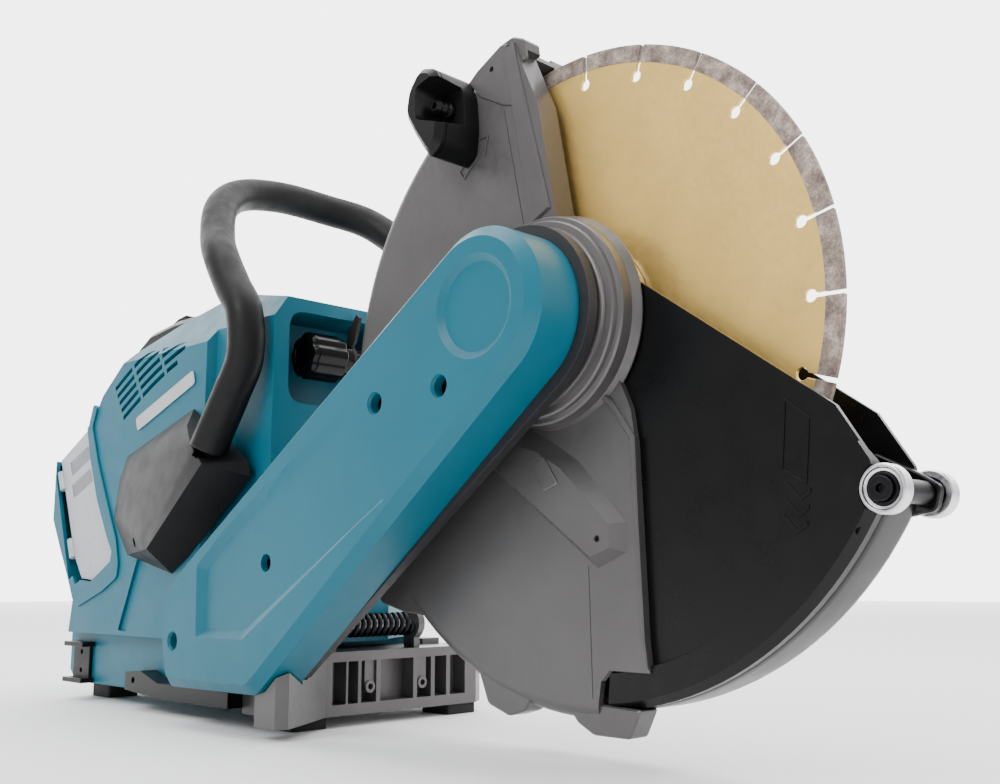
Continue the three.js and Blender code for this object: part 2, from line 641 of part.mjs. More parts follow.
function guardGrip() {
  const y1 = -GUARD_HALF_W - GAP;
  const block = chamferedSlabY(GRIP_OUTLINE, GRIP_END_Y, y1, 6);
  const nozzleWay = rodY(5.5 + GAP, GRIP_END_Y, y1 + 1, ...NOZZLE, 20);
  const nozzleRoom = slabY(rounded([
    [-89, 416], [-89, 404], [-82, 399], [-50, 398], [-50, 424], [-80, 423],
  ], 3), GRIP_END_Y - 1, -38);
  add('guard_grip', cut(block, nozzleWay, nozzleRoom), BLACK);
  add('water_nozzle', turned([
    [2.2, -54], [3.8, -54], [5, -51.5], [3.6, -49.5], [5, -46.5], [3.6, -44.5], [5.5, -42],
    [5.5, y1 - 0.05], [2.2, y1 - 0.05], [2.2, -54],
  ], ...NOZZLE, 20), BLACK);
}

// ---------------------------------------------------------------- housing

// Side outline of the housing.
const BODY_SIDE = [
  [BODY_FRONT_X, 318], [-345, BODY_TOP_Z], [-372, 334], [-422, 320], [-472, 300], [-519, 267],
  [-535, 246], [-593, 218], [-620, 212], [-620, 183], [-604, 156], [-588, 132], [-571, 108],
  [-557, 86], [-562, BODY_BOTTOM_Z], [-254, BODY_BOTTOM_Z], [-254, 132], [BODY_FRONT_X, 150],
];

// Outer form of the housing, moved in or out by a distance: side, plan and end outlines together.
function bodyForm(out) {
  const front = BODY_RIGHT_Y + BODY_STEP;
  const frontLeft = BODY_LEFT_Y - BODY_STEP;
  const side = slabY(offset(BODY_SIDE, out), BODY_RIGHT_Y - out, BODY_LEFT_Y + out);
  const plan = slabZ(offset([
    [-640, BODY_RIGHT_Y + 16], [-606, BODY_RIGHT_Y], [BODY_STEP_X, BODY_RIGHT_Y], [BODY_STEP_X + 4, front],
    [-200, front], [-200, 40], [BODY_FRONT_X, 62], [-300, frontLeft], [BODY_STEP_X + 4, frontLeft],
    [BODY_STEP_X, BODY_LEFT_Y], [-606, BODY_LEFT_Y], [-640, BODY_LEFT_Y - 16],
  ], out), 0, 400);
  const end = slabX(offset([
    [BODY_RIGHT_Y, 0], [BODY_LEFT_Y, 0], [BODY_LEFT_Y, 268], [104, 318], [60, BODY_TOP_Z + 0.5],
    [-24, BODY_TOP_Z + 0.5], [BODY_RIGHT_Y, 292],
  ], out), -700, -200);
  return side.intersect(plan).intersect(end);
}

const DOOR_OUTLINE = [
  [-592, 221], [-548, 242], [-537, 209], [-521, 174], [-500, 142], [-489, 128], [-491, 120],
  [-525, 103], [-550, 105], [-567, 126], [-595, 190], [-605, 215],
];
const DOOR_Y = [BODY_RIGHT_Y + 4, BODY_RIGHT_Y + 6.5];
const HINGE_TOP = [-603, 205];
const HINGE_FOOT = [-567, 122];
const HINGE_R = 4;
// Cut from the wall where the door's lower edge sweeps out.
const DOOR_SWING_ROOM = [[-572, 128], [-554, 100], [-545, 103], [-561, 130]];

// Slanted slots in three columns, through both side walls.
function ventSlots() {
  const rise = rad(16);
  const slots = [];
  const columns = [[0, 34], [39, 78], [83, 114]];
  for (let row = 0; row < 5; row++) {
    columns.forEach(([from, to], column) => {
      if (column === 2 && row === 4) return;
      const start = [-492 + 5 * row, 266 - 9 * row];
      const point = (along, up) => [
        start[0] + along * Math.cos(rise), start[1] + along * Math.sin(rise) + up,
      ];
      slots.push(slabY([point(from, 0), point(to, 0), point(to - 1.5, 4.6), point(from + 1.5, 4.6)],
        BODY_RIGHT_Y - 60, BODY_LEFT_Y + 60));
    });
  }
  return join(...slots);
}

function housing() {
  const shell = bodyForm(0).subtract(bodyForm(-BODY_WALL));
  const bay = offset(DOOR_OUTLINE, 0.5);
  const above = [[-537, 300], [-640, 300], [-602, 217], [-592, 219]];
  const openings = [BODY_RIGHT_Y - 1, DOOR_Y[1] + GAP, 2 * BODY_MID_Y - DOOR_Y[1] - GAP, BODY_LEFT_Y + 1];
  const sideCuts = [
    slabY(bay, openings[0], openings[1]), slabY(bay, openings[2], openings[3]),
    slabY(above, openings[0], openings[1]), slabY(above, openings[2], openings[3]),
    slabY(DOOR_SWING_ROOM, openings[0], openings[1]), slabY(DOOR_SWING_ROOM, openings[2], openings[3]),
  ];
  const knuckleRoom = [1, -1].map((side) => {
    const y = side > 0 ? DOOR_Y[1] - 2 : 2 * BODY_MID_Y - DOOR_Y[1] + 2;
    return rodBetween([HINGE_TOP[0] - 6, y, HINGE_TOP[1] + 14], [HINGE_FOOT[0] + 6, y, HINGE_FOOT[1] - 14],
      HINGE_R + 0.8, 16);
  });
  const recess = box(-300, -200, -34, 58, 238, 306);
  const recessWall = box(-303, BODY_FRONT_X - 0.5, -37, 61, 235, 309).subtract(recess);
  const shaftWay = rodY(17, BODY_RIGHT_Y - 5, 0, ...MOTOR, 32);
  const whole = cut(join(shell, recessWall.intersect(bodyForm(0))), shaftWay, recess, ventSlots(),
    ...sideCuts, ...knuckleRoom);
  const half = (y0, y1) => whole.intersect(box(-700, -100, y0, y1, 0, 400));
  return [half(-100, BODY_MID_Y - GAP / 2), half(BODY_MID_Y + GAP / 2, 200)];
}

function largest(made) {
  return made.decompose().reduce((a, b) => (Math.abs(a.volume()) > Math.abs(b.volume()) ? a : b));
}

function housingGroup() {
  const [right, left] = housing();
  add('housing_right', largest(right), TEAL);
  add('housing_left', largest(left), TEAL);
}

// ---------------------------------------------------------------- battery doors and packs

function batteryDoor(name, mirrored) {
  const panel = slabY(offset(DOOR_OUTLINE, -0.3), DOOR_Y[0], DOOR_Y[1]);
  const along = (t) => [
    HINGE_TOP[0] + (HINGE_FOOT[0] - HINGE_TOP[0]) * t, HINGE_TOP[1] + (HINGE_FOOT[1] - HINGE_TOP[1]) * t,
  ];
  const y = DOOR_Y[1] - 2;
  const knuckle = (t0, t1) => {
    const [a, b] = [along(t0), along(t1)];
    return rodBetween([a[0], y, a[1]], [b[0], y, b[1]], HINGE_R, 16);
  };
  const windows = [[-586, 211], [-580, 190]].map(([x, z]) => slabY(
    [[x, z], [x + 36, z + 14], [x + 42, z + 2], [x + 6, z - 12]], DOOR_Y[0] - 1, DOOR_Y[0] + 1.2));
  const body = cut(join(panel, knuckle(0.02, 0.22), knuckle(0.78, 0.98)), ...windows);
  const made = mirrored ? body.mirror([0, 1, 0]).translate([0, 2 * BODY_MID_Y, 0]) : body;
  add(name, made, LIGHT);
}

// The packs stand on their ends in the bay, in line with its slope.
function batteryPack(name, y0) {
  const [length, width, depth] = BATTERY;
  const g = new THREE.BoxGeometry(depth, width, length);
  const tip = rad(-22);
  g.rotateY(tip);
  g.translate(-541, y0 + width / 2, 162);
  const pack = solid(g);
  const groove = new THREE.BoxGeometry(depth - 16, 4, length - 20);
  groove.rotateY(tip);
  groove.translate(-541, y0, 162);
  add(name, pack.subtract(solid(groove)), DARK_GREY);
}

function batteryGroup() {
  batteryDoor('battery_door_right', false);
  batteryDoor('battery_door_left', true);
  const inner = DOOR_Y[1] + 3;
  batteryPack('battery_pack_right', inner);
  batteryPack('battery_pack_left', 2 * BODY_MID_Y - inner - BATTERY[1]);
  const gapY = [inner + BATTERY[1] + GAP, 2 * BODY_MID_Y - inner - BATTERY[1] - GAP];
  add('battery_terminal', box(-556, -528, gapY[0], gapY[1], 130, 196), BLACK);
  add('controller', box(-470, -352, -18, 94, 236, 262).subtract(box(-466, -356, -14, 90, 240, 263)), BOARD);
}

// ---------------------------------------------------------------- base, stand and feet

function basePan() {
  const outline = [
    [-578, 57.7], [-578, 24], [-566, 14], [-300, 14], [-292.3, 22], [-292.3, 57.7],
  ];
  const y0 = BODY_RIGHT_Y + 11;
  const y1 = BODY_LEFT_Y - 11;
  const outer = slabY(outline, y0, y1);
  const inner = slabY(offset(outline, -PAN_WALL), y0 + PAN_WALL, y1 - PAN_WALL)
    .add(box(-570, -300, y0 + PAN_WALL, y1 - PAN_WALL, 40, 70));
  add('base_pan', outer.subtract(inner), TEAL);
}

function frontStand() {
  const [z0, z1] = STAND_Z;
  const [x0, x1] = STAND_X;
  const [y0, y1] = STAND_Y;
  const wing = STAND_WING;
  const plan = [
    [x0, y0], [x0, y1], [x1 - 8, y1], [x1, y1 - 12], [x1, wing.rootY], [wing.x, wing.y + 8],
    [wing.x - 4, wing.y], [wing.x - 28, wing.y], [wing.x - 30, y0],
  ];
  const end = [[wing.y, z0], [y1, z0], [y1, z1 - 12], [y1 - 14, z1 - 1], [wing.y, z1 - 1]];
  const coverRoom = slabY(offset(coverOutline(), 1), COVER_OUT_Y - 1, COVER_IN_Y + GAP);
  const armRoom = slabY(offset(armOutline(), 1), COVER_IN_Y, ARM_IN_Y + GAP);
  const block = slabZ(plan, z0, z1 - 1).intersect(slabX(end, x0 - 1, wing.x + 1));
  const pockets = [];
  const ribs = [[-14, -2], [0, 9], [12, 26], [30, 62], [66, 80], [84, 96], [100, 116]];
  for (const [a, b] of ribs) pockets.push(box(x1 - 14, x1 + 1, a, b, z0 + 8, z1 - 8));
  const under = box(x0 + 5, x1 - 18, y0 + 44, y1 - 44, z0 - 1, z1 - 8);
  const bosses = [21, 72].map((y) => {
    const g = new THREE.CylinderGeometry(4.5, 4.5, 13, 20);
    g.rotateZ(Math.PI / 2);
    g.translate(x1 - 7, y, z0 + 19);
    const hole = new THREE.CylinderGeometry(2.2, 2.2, 6, 12);
    hole.rotateZ(Math.PI / 2);
    hole.translate(x1 - 2, y, z0 + 19);
    return [solid(g), solid(hole), box(x1 - 14, x1 - 2, y - 4.5, y + 4.5, z0 + 19, z1 - 6)];
  });
  const pads = [-30, 100].map((y) => box(x0 + 6, x0 + 30, y, y + 18, z1 - 4, BODY_BOTTOM_Z - GAP));
  const casting = cut(block, ...pockets, under, coverRoom, armRoom);
  const stand = join(casting, ...bosses.map((b) => b[0]), ...bosses.map((b) => b[2]), ...pads);
  const made = cut(stand, ...bosses.map((b) => b[1]));
  const springTab = (y, w) => rodY(SPRING_R + 3, y, y + w, SPRING_X, SPRING_Z, 20)
    .add(box(SPRING_X - 6, SPRING_X + 6, y, y + w, z1 - 4, SPRING_Z));
  const tabs = [springTab(SPRING_Y[0] - 6, 6 - GAP), springTab(SPRING_Y[1] + GAP, 6)];
  add('front_stand', join(made, ...tabs), CAST_GREY);
}

function feet() {
  const x1 = STAND_X[1];
  const foot = (name, xa, xb, ya, yb, h) => {
    const sole = rounded([[xa, ya], [xb, ya], [xb, yb], [xa, yb]], 3, 2);
    add(name, slabZ(sole, 0, h - GAP), RUBBER);
  };
  foot('foot_front_right', x1 - 34, x1 - 2, -46, -16, FOOT_H);
  foot('foot_front_left', x1 - 34, x1 - 2, 100, 130, FOOT_H);
  foot('foot_rear_right', -571, -537, -26, 2, REAR_FOOT_H);
  foot('foot_rear_left', -571, -537, 74, 102, REAR_FOOT_H);
}

function avSpring() {
  const turns = [];
  const steps = 8 * SPRING_TURNS;
  const r = SPRING_R - SPRING_WIRE_R;
  const [y0, y1] = [SPRING_Y[0] + SPRING_WIRE_R, SPRING_Y[1] - SPRING_WIRE_R];
  for (let i = 0; i <= steps; i++) {
    const a = 2 * Math.PI * SPRING_TURNS * i / steps;
    turns.push([SPRING_X + r * Math.cos(a), y0 + (y1 - y0) * i / steps, SPRING_Z + r * Math.sin(a)]);
  }
  add('av_spring', bentBar(turns, SPRING_WIRE_R, steps, 5), BLACK);
  add('av_spring_rod', rodY(4, SPRING_Y[0], SPRING_Y[1], SPRING_X, SPRING_Z, 16), STEEL);
}

function skidRail() {
  const outline = [
    [-446, 30], [-420, 32], [-394, 24], [-291, 24], [-291, 12], [-395, 12], [-446, 16],
  ];
  add('skid_rail', slabY(outline, BODY_RIGHT_Y - 4, BODY_RIGHT_Y + 11 - GAP).subtract(
    rodY(2.4, BODY_RIGHT_Y - 5, BODY_RIGHT_Y, -432, 24, 12)), BLACK);
}

function rearBracket(name, mirrored) {
  const y = BODY_RIGHT_Y + 11 - GAP;
  const plate = box(-564, -534, y - 3, y, 16, 50);
  const shelves = [box(-566, -530, y - 12, y, 46, 50), box(-566, -530, y - 12, y, 15, 19)];
  const holes = [[-549, 41], [-549, 25]].map(([x, z]) => rodY(2.2, y - 4, y - 1, x, z, 12));
  const made = cut(join(plate, ...shelves), ...holes);
  add(name, mirrored ? made.mirror([0, 1, 0]).translate([0, 2 * BODY_MID_Y, 0]) : made, BLACK);
}

// ---------------------------------------------------------------- handles

const MOUNT_BACK = [
  [-361, 239], [-466, 209], [-478, 191], [-486, 156], [-459, 125], [-384, 109], [-361, 121],
  [-276, 180], [-280, 192], [-302, 206],
];
const MOUNT_RIDGE = [[-296, 189], [-372, 128]];
const MOUNT_Y = [-86, BODY_RIGHT_Y - GAP];
const TUBE_END = [-299, -74, 213];
const TUBE_DIRECTION = [0.40, 0.15, 0.9];

const HANDLE_POINTS = [
  TUBE_END, [-286, -69, 242], [-276, -65, 268], [-279, -65, 304], [-297, -64.5, 327], [-318, -62, 353],
  [-342, -52, 375], [-374, -30, 415], [-392, 0, 437], [-398, BODY_MID_Y + 7, 447],
  [-388, BODY_LEFT_Y - 42, 443], [-362, BODY_LEFT_Y - 12, 430], [-325, BODY_LEFT_Y + 6, 395],
  [-300, BODY_LEFT_Y + 14, 344], [-280, BODY_LEFT_Y + 16, 300], [-276, BODY_LEFT_Y + 16, 268],
  [-286, BODY_LEFT_Y + 15, 242],
  mirrorY([TUBE_END])[0],
];

function handleMount(name, mirrored) {
  const back = MOUNT_BACK.map(([x, z]) => [x, MOUNT_Y[1], z]);
  const ridge = [
    [MOUNT_RIDGE[0][0], MOUNT_Y[0], MOUNT_RIDGE[0][1]], [MOUNT_RIDGE[1][0], MOUNT_Y[0], MOUNT_RIDGE[1][1]],
    [-316, MOUNT_Y[0] + 2, 204], [-340, -74, 222], [-440, -68, 196], [-452, -68, 160],
  ];
  const block = hullOf([...back, ...ridge]);
  const end = mirrored ? mirrorY([TUBE_END])[0] : TUBE_END;
  const made = mirrored ? block.mirror([0, 1, 0]).translate([0, 2 * BODY_MID_Y, 0]) : block;
  const side = mirrored ? -1 : 1;
  const to = (t) => [
    end[0] + TUBE_DIRECTION[0] * t, end[1] + side * TUBE_DIRECTION[1] * t, end[2] + TUBE_DIRECTION[2] * t,
  ];
  const socket = rodBetween(to(-0.4), to(60), HANDLE_R + GAP, 24);
  const spigot = rodBetween(to(-22), to(1), HANDLE_SPIGOT_R + GAP, 20);
  const boltY = mirrored ? [2 * BODY_MID_Y + 60, 2 * BODY_MID_Y + 100] : [-100, -60];
  const bolt = rodY(4, boltY[0], boltY[1], -416, 134, 16);
  add(name, cut(made, socket, spigot, bolt), DARK_GREY);
}

function frontHandle() {
  const curve = bentBar(HANDLE_POINTS, HANDLE_R, 34, 12);
  const left = mirrorY([TUBE_END])[0];
  const [dx, dy, dz] = TUBE_DIRECTION;
  const stub = (end, side) => {
    const at = (t) => [end[0] + dx * t, end[1] + side * dy * t, end[2] + dz * t];
    return rodBetween(at(-20), at(6), HANDLE_SPIGOT_R, 20);
  };
  add('front_handle', join(curve, stub(TUBE_END, 1), stub(left, -1)), RUBBER);
}

const GRIP_Y = [BODY_MID_Y - REAR_GRIP_W / 2, BODY_MID_Y + REAR_GRIP_W / 2];
const TRIGGER_PIVOT = [-478, 326];
const LOCK_PIVOT = [-574, 338];

function rearHandleGroup() {
  const outer = [
    [-400, 300], [-424, 338], [-446, 348], [-470, 352], [-540, 352], [-588, 347], [-610, 336],
    [-624, 316], [-634, 270], [-632, 205], [-590, 205], [-560, 200],
  ];
  const hole = rounded([
    [-458, 290], [-468, 318], [-520, 319], [-572, 314], [-594, 296], [-602, 262], [-596, 200], [-500, 220],
  ], 12);
  const half = chamferedSlabY(outer, GRIP_Y[0], BODY_MID_Y, 6);
  const loop = half.add(half.mirror([0, 1, 0]).translate([0, 2 * BODY_MID_Y, 0]))
    .subtract(slabY(hole, GRIP_Y[0] - 1, GRIP_Y[1] + 1));
  const triggerRoom = slabY(
    [[-526, 342], [-473, 342], [-473, 300], [-526, 300]], BODY_MID_Y - 8, BODY_MID_Y + 8);
  const lockRoom = slabY(
    [[-582, 360], [-530, 360], [-530, 340], [-582, 331]], BODY_MID_Y - 7, BODY_MID_Y + 7);
  const handle = cut(loop, bodyForm(GAP), triggerRoom, lockRoom);
  add('rear_handle', largest(handle), BLACK);
  add('trigger', slabY(rounded([
    [-476, 331], [-520, 328], [-522, 320], [-516, 312], [-500, 302], [-494, 312], [-480, 318],
  ], 3, 2), BODY_MID_Y - 7.4, BODY_MID_Y + 7.4), DARK_GREY);
  add('lock_off_lever', slabY(rounded([
    [-578, 338], [-576, 346], [-550, 356], [-534, 358], [-532, 352], [-548, 347],
  ], 2, 2), BODY_MID_Y - 6.2, BODY_MID_Y + 6.2), DARK_GREY);
}

// ---------------------------------------------------------------- water inlet and plate

function waterGroup() {
  const y1 = 44;
  add('water_inlet', join(
    rodY(10, 6, y1, ...INLET, 24),
    rodY(14, 16, 22, ...INLET, 24),
    box(-299.6, INLET[0] + 8, y1 - 18, y1, INLET[1] - 9, INLET[1] + 9),
  ), BLACK);
  add('water_cap', join(
    rodY(18, -16, -4, ...INLET, 8),
    rodY(16.5, -5, 15.6, ...INLET, 32),
  ).subtract(rodY(10 + GAP, 5.7, 17, ...INLET, 24)), BLACK);
  const tail = slabY([[-262, 286], [-258, 290], [-252, 309], [-256, 312], [-266, 300], [-268, 288]], 23, 26);
  add('cap_strap', ringY(13.5, 10.6, 23, 26, ...INLET, 24).add(tail), RUBBER);
}

function namePlate() {
  const tip = rad(18.7);
  const g = new THREE.ExtrudeGeometry(shapeOf(rounded([[-48, -6], [48, -6], [48, 6], [-48, 6]], 3, 2)),
    { depth: 1, bevelEnabled: false });
  g.rotateX(Math.PI / 2);
  g.rotateY(-tip);
  g.translate(-407, BODY_RIGHT_Y - GAP, 250);
  add('name_plate', solid(g), STEEL);
}

// ---------------------------------------------------------------- assembly

wheelGroup();
spindleBearing('spindle_bearing_outer', BEARING_A_Y);
spindleBearing('spindle_bearing_inner', BEARING_B_Y);
driveBelt();
motorGroup();
add('belt_cover', beltCover(), TEAL);
COVER_SCREWS.forEach((at, i) => coverScrew(`belt_cover_screw_${i + 1}`, at));
beltArm();
add('guard_shell', guardShell(), CAST_GREY);
add('guard_front_shell', guardFrontShell(), BLACK);
rollerGroup();
guardGrip();
housingGroup();
batteryGroup();
basePan();
frontStand();
feet();
avSpring();
skidRail();
rearBracket('rear_bracket_right', false);
rearBracket('rear_bracket_left', true);
handleMount('handle_mount_right', false);
handleMount('handle_mount_left', true);
frontHandle();
rearHandleGroup();
waterGroup();
namePlate();

const bounds = new THREE.Box3().setFromObject(root);
const middle = bounds.getCenter(new THREE.Vector3());
root.position.set(-middle.x, -middle.y, -bounds.min.z);

export default root;
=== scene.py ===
import json
import math

import bmesh
import bpy
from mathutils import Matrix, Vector


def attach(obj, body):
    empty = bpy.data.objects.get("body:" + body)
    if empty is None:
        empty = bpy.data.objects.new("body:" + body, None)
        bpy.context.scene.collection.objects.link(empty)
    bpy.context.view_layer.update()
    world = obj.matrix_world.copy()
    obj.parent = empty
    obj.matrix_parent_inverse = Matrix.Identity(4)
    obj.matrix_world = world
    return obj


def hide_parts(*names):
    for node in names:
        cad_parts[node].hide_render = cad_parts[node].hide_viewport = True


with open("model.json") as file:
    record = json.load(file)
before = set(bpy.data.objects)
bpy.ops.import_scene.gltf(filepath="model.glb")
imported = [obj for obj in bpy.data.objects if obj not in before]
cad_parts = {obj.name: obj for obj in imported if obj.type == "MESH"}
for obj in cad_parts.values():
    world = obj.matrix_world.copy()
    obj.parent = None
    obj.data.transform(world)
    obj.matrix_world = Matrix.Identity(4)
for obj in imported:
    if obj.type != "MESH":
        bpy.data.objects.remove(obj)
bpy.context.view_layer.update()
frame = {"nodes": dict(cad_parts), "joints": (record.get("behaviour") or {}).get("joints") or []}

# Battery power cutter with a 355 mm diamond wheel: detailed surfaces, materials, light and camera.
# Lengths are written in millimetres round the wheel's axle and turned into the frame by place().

# ---------------------------------------------------------------- dimensions

AXLE_Z = 257.5
WHEEL_R = 177.5
WHEEL_T = 3.2
CORE_T = 2.4
CORE_R = 167.0
SEGMENTS = 24
SLOT_W = 2.6
SLOT_HOLE_R = 3.6
SLOT_HOLE_AT = 19.5
SLOT_PHASE = 88.05

AXLE = (0, AXLE_Z)
GUARD_CENTRE = (20, 240)
GUARD_R = 212
GUARD_HALF_W = 27
ROLLER_AT = (206, 147.6)
GRIP_Y = (-63, -27.3)
NOZZLE = (-79, 411)

COVER_Y = (-94, -57)
COVER_SCREWS = [(-28, 215), (-86, 211), (-201, 116), (-313, 61)]
PANEL_DEPTH = 4.5

INLET = (-270, 276)

HANDLE_R = 14.0
TUBE_END = (-299, -74, 213)
BODY_MID_Y = 38
BODY_HALF_W = 94
BODY_WALL = 3.5
DOOR_SWING_GAP = 0.8

SPRING_X = -240
SPRING_Z = 71
SPRING_ENDS = (-6, 68)
SPRING_R = 9.0
SPRING_WIRE_R = 1.8
SPRING_TURNS = 13

CAMERA_AT = (460.1, -533.7, 107.9)
CAMERA_LOOKS = (-0.69737, 0.69954, 0.15592)
CAMERA_LENS = 41.8

wheel_joint = next(j for j in frame["joints"] if j["name"] == "wheel_spin")
ORIGIN = Vector(wheel_joint["pos_m"]) - Vector((0, 0, AXLE_Z)) * 0.001


def place(x, y, z):
    return ORIGIN + Vector((x, y, z)) * 0.001


# ---------------------------------------------------------------- colours and materials

def srgb(r, g, b):
    def linear(c):
        c = c / 255
        return c / 12.92 if c <= 0.04045 else ((c + 0.055) / 1.055) ** 2.4
    return (linear(r), linear(g), linear(b), 1.0)


def scaled(color, k):
    return (color[0] * k, color[1] * k, color[2] * k, 1.0)


class Surface:
    """A material under construction: one principled shader fed by object-space textures."""

    def __init__(self, name, color, roughness, metallic=0.0, specular=0.5, coat=0.0):
        self.material = bpy.data.materials.new(name)
        self.material.use_nodes = True
        self.nodes = self.material.node_tree.nodes
        self.links = self.material.node_tree.links
        self.shader = self.nodes["Principled BSDF"]
        self.shader.inputs["Base Color"].default_value = color
        self.shader.inputs["Roughness"].default_value = roughness
        self.shader.inputs["Metallic"].default_value = metallic
        self.shader.inputs["Specular IOR Level"].default_value = specular
        self.shader.inputs["Coat Weight"].default_value = coat
        self.coords = self.nodes.new("ShaderNodeTexCoord").outputs["Object"]

    def noise(self, scale, detail=2.0, stretch=None):
        source = self.coords
        if stretch:
            mapping = self.nodes.new("ShaderNodeMapping")
            mapping.inputs["Scale"].default_value = stretch
            self.links.new(source, mapping.inputs["Vector"])
            source = mapping.outputs["Vector"]
        texture = self.nodes.new("ShaderNodeTexNoise")
        texture.inputs["Scale"].default_value = scale
        texture.inputs["Detail"].default_value = detail
        self.links.new(source, texture.inputs["Vector"])
        return texture.outputs["Fac"]

    def ramp(self, value, stops):
        node = self.nodes.new("ShaderNodeValToRGB")
        elements = node.color_ramp.elements
        elements[0].position, elements[0].color = stops[0]
        elements[1].position, elements[1].color = stops[-1]
        for position, color in stops[1:-1]:
            elements.new(position).color = color
        self.links.new(value, node.inputs["Fac"])
        return node.outputs["Color"]

    def spread(self, value, low, high):
        node = self.nodes.new("ShaderNodeMapRange")
        node.inputs["From Min"].default_value = 0.3
        node.inputs["From Max"].default_value = 0.7
        node.inputs["To Min"].default_value = low
        node.inputs["To Max"].default_value = high
        self.links.new(value, node.inputs["Value"])
        return node.outputs["Result"]

    def colored(self, value, stops):
        self.links.new(self.ramp(value, stops), self.shader.inputs["Base Color"])

    def roughened(self, value, low, high):
        self.links.new(self.spread(value, low, high), self.shader.inputs["Roughness"])

    def bumped(self, value, height, strength=1.0):
        node = self.nodes.new("ShaderNodeBump")
        node.inputs["Distance"].default_value = height
        node.inputs["Strength"].default_value = strength
        self.links.new(value, node.inputs["Height"])
        self.links.new(node.outputs["Normal"], self.shader.inputs["Normal"])


def moulded(name, color, roughness, grain=1400, height=0.00006, specular=0.5, variation=0.06):
    """Moulded plastic: fine spark-eroded grain, faint colour and gloss variation."""
    s = Surface(name, color, roughness, specular=specular)
    s.colored(s.noise(9, 3), [(0.35, scaled(color, 1 - variation)), (0.65, scaled(color, 1 + variation))])
    s.roughened(s.noise(60, 4), roughness - 0.04, roughness + 0.05)
    s.bumped(s.noise(grain, 2), height)
    return s.material


def cast(name, color, roughness, metallic=0.55):
    """Painted casting: satin metallic paint over a slightly uneven surface."""
    s = Surface(name, color, roughness, metallic)
    s.colored(s.noise(22, 5), [(0.3, scaled(color, 0.93)), (0.7, scaled(color, 1.07))])
    s.roughened(s.noise(180, 3), roughness - 0.05, roughness + 0.06)
    s.bumped(s.noise(900, 3), 0.00005)
    return s.material


def machined(name, color, roughness, stretch=(1, 12, 1)):
    """Turned or ground steel: fine lines one way."""
    s = Surface(name, color, roughness, 1.0)
    s.roughened(s.noise(220, 3, stretch), roughness - 0.08, roughness + 0.1)
    s.bumped(s.noise(900, 2, stretch), 0.00002)
    return s.material


def rubbery(name, color, roughness=0.62):
    s = Surface(name, color, roughness, specular=0.22)
    s.colored(s.noise(30, 3), [(0.35, scaled(color, 0.85)), (0.65, scaled(color, 1.2))])
    s.roughened(s.noise(120, 3), roughness - 0.06, roughness + 0.08)
    s.bumped(s.noise(1100, 3), 0.00008)
    return s.material


def gold_core():
    """Gold-coloured wheel body: fine radial scatter of a lacquered, ground steel disc."""
    color = srgb(238, 200, 116)
    s = Surface("wheel_gold", color, 0.36, 0.75)
    s.colored(s.noise(40, 5), [(0.3, scaled(color, 0.95)), (0.7, scaled(color, 1.05))])
    s.roughened(s.noise(400, 4), 0.33, 0.42)
    s.bumped(s.noise(2200, 2), 0.00002)
    return s.material


def diamond_grit():
    """Sintered segment: grey-brown metal bond with light and dark grains."""
    s = Surface("wheel_segment", srgb(150, 136, 128), 0.6, 0.45)
    grains = s.nodes.new("ShaderNodeTexVoronoi")
    grains.inputs["Scale"].default_value = 650
    s.links.new(s.coords, grains.inputs["Vector"])
    mottled = s.nodes.new("ShaderNodeMix")
    mottled.data_type = 'RGBA'
    mottled.blend_type = 'MULTIPLY'
    mottled.inputs["Factor"].default_value = 0.6
    patches = s.ramp(s.noise(110, 6), [(0.3, srgb(112, 98, 92)), (0.5, srgb(160, 146, 138)),
                                       (0.7, srgb(205, 192, 184))])
    specks = s.ramp(grains.outputs["Distance"], [(0.1, srgb(255, 250, 240)), (0.9, srgb(140, 130, 125))])
    s.links.new(patches, mottled.inputs["A"])
    s.links.new(specks, mottled.inputs["B"])
    s.links.new(mottled.outputs["Result"], s.shader.inputs["Base Color"])
    s.bumped(s.noise(1500, 4), 0.00025)
    return s.material


TEAL = moulded("teal_plastic", srgb(0, 92, 112), 0.42, specular=0.35, variation=0.03)
CAST_GREY = cast("cast_grey", srgb(92, 90, 90), 0.38)
SHELL_BLACK = moulded("shell_black", srgb(7, 7, 8), 0.3, grain=900, height=0.00003, specular=0.22)
LABEL = moulded("blank_label", srgb(172, 173, 176), 0.35, grain=300, height=0.000004)
WINDOW_GREY = moulded("window_grey", srgb(118, 121, 126), 0.25, grain=600, height=0.00002)
ARM_GREY = cast("arm_grey", srgb(40, 40, 43), 0.5, 0.3)
DARK_PLASTIC = moulded("dark_plastic", srgb(18, 18, 20), 0.45, grain=900, height=0.00012, specular=0.13)
BLACK_PLASTIC = moulded("black_plastic", srgb(13, 13, 14), 0.4, grain=1200, specular=0.2)
GLOSS_BLACK = moulded("gloss_black", srgb(7, 7, 8), 0.18, grain=500, height=0.00001, specular=0.2)
RUBBER = rubbery("rubber", srgb(28, 27, 28))
GRIP_RUBBER = rubbery("grip_rubber", srgb(15, 15, 16), 0.5)
STEEL = machined("steel", srgb(190, 192, 196), 0.32)
ZINC = machined("zinc", srgb(222, 222, 226), 0.28)
BLACK_STEEL = machined("black_steel", srgb(38, 38, 40), 0.4)
LIGHT_PLASTIC = moulded("light_plastic", srgb(168, 171, 176), 0.3, grain=800, height=0.00003)
COPPER = machined("copper", srgb(184, 108, 64), 0.4)
BOARD = moulded("board", srgb(40, 88, 58), 0.5)
GOLD = gold_core()
GRIT = diamond_grit()

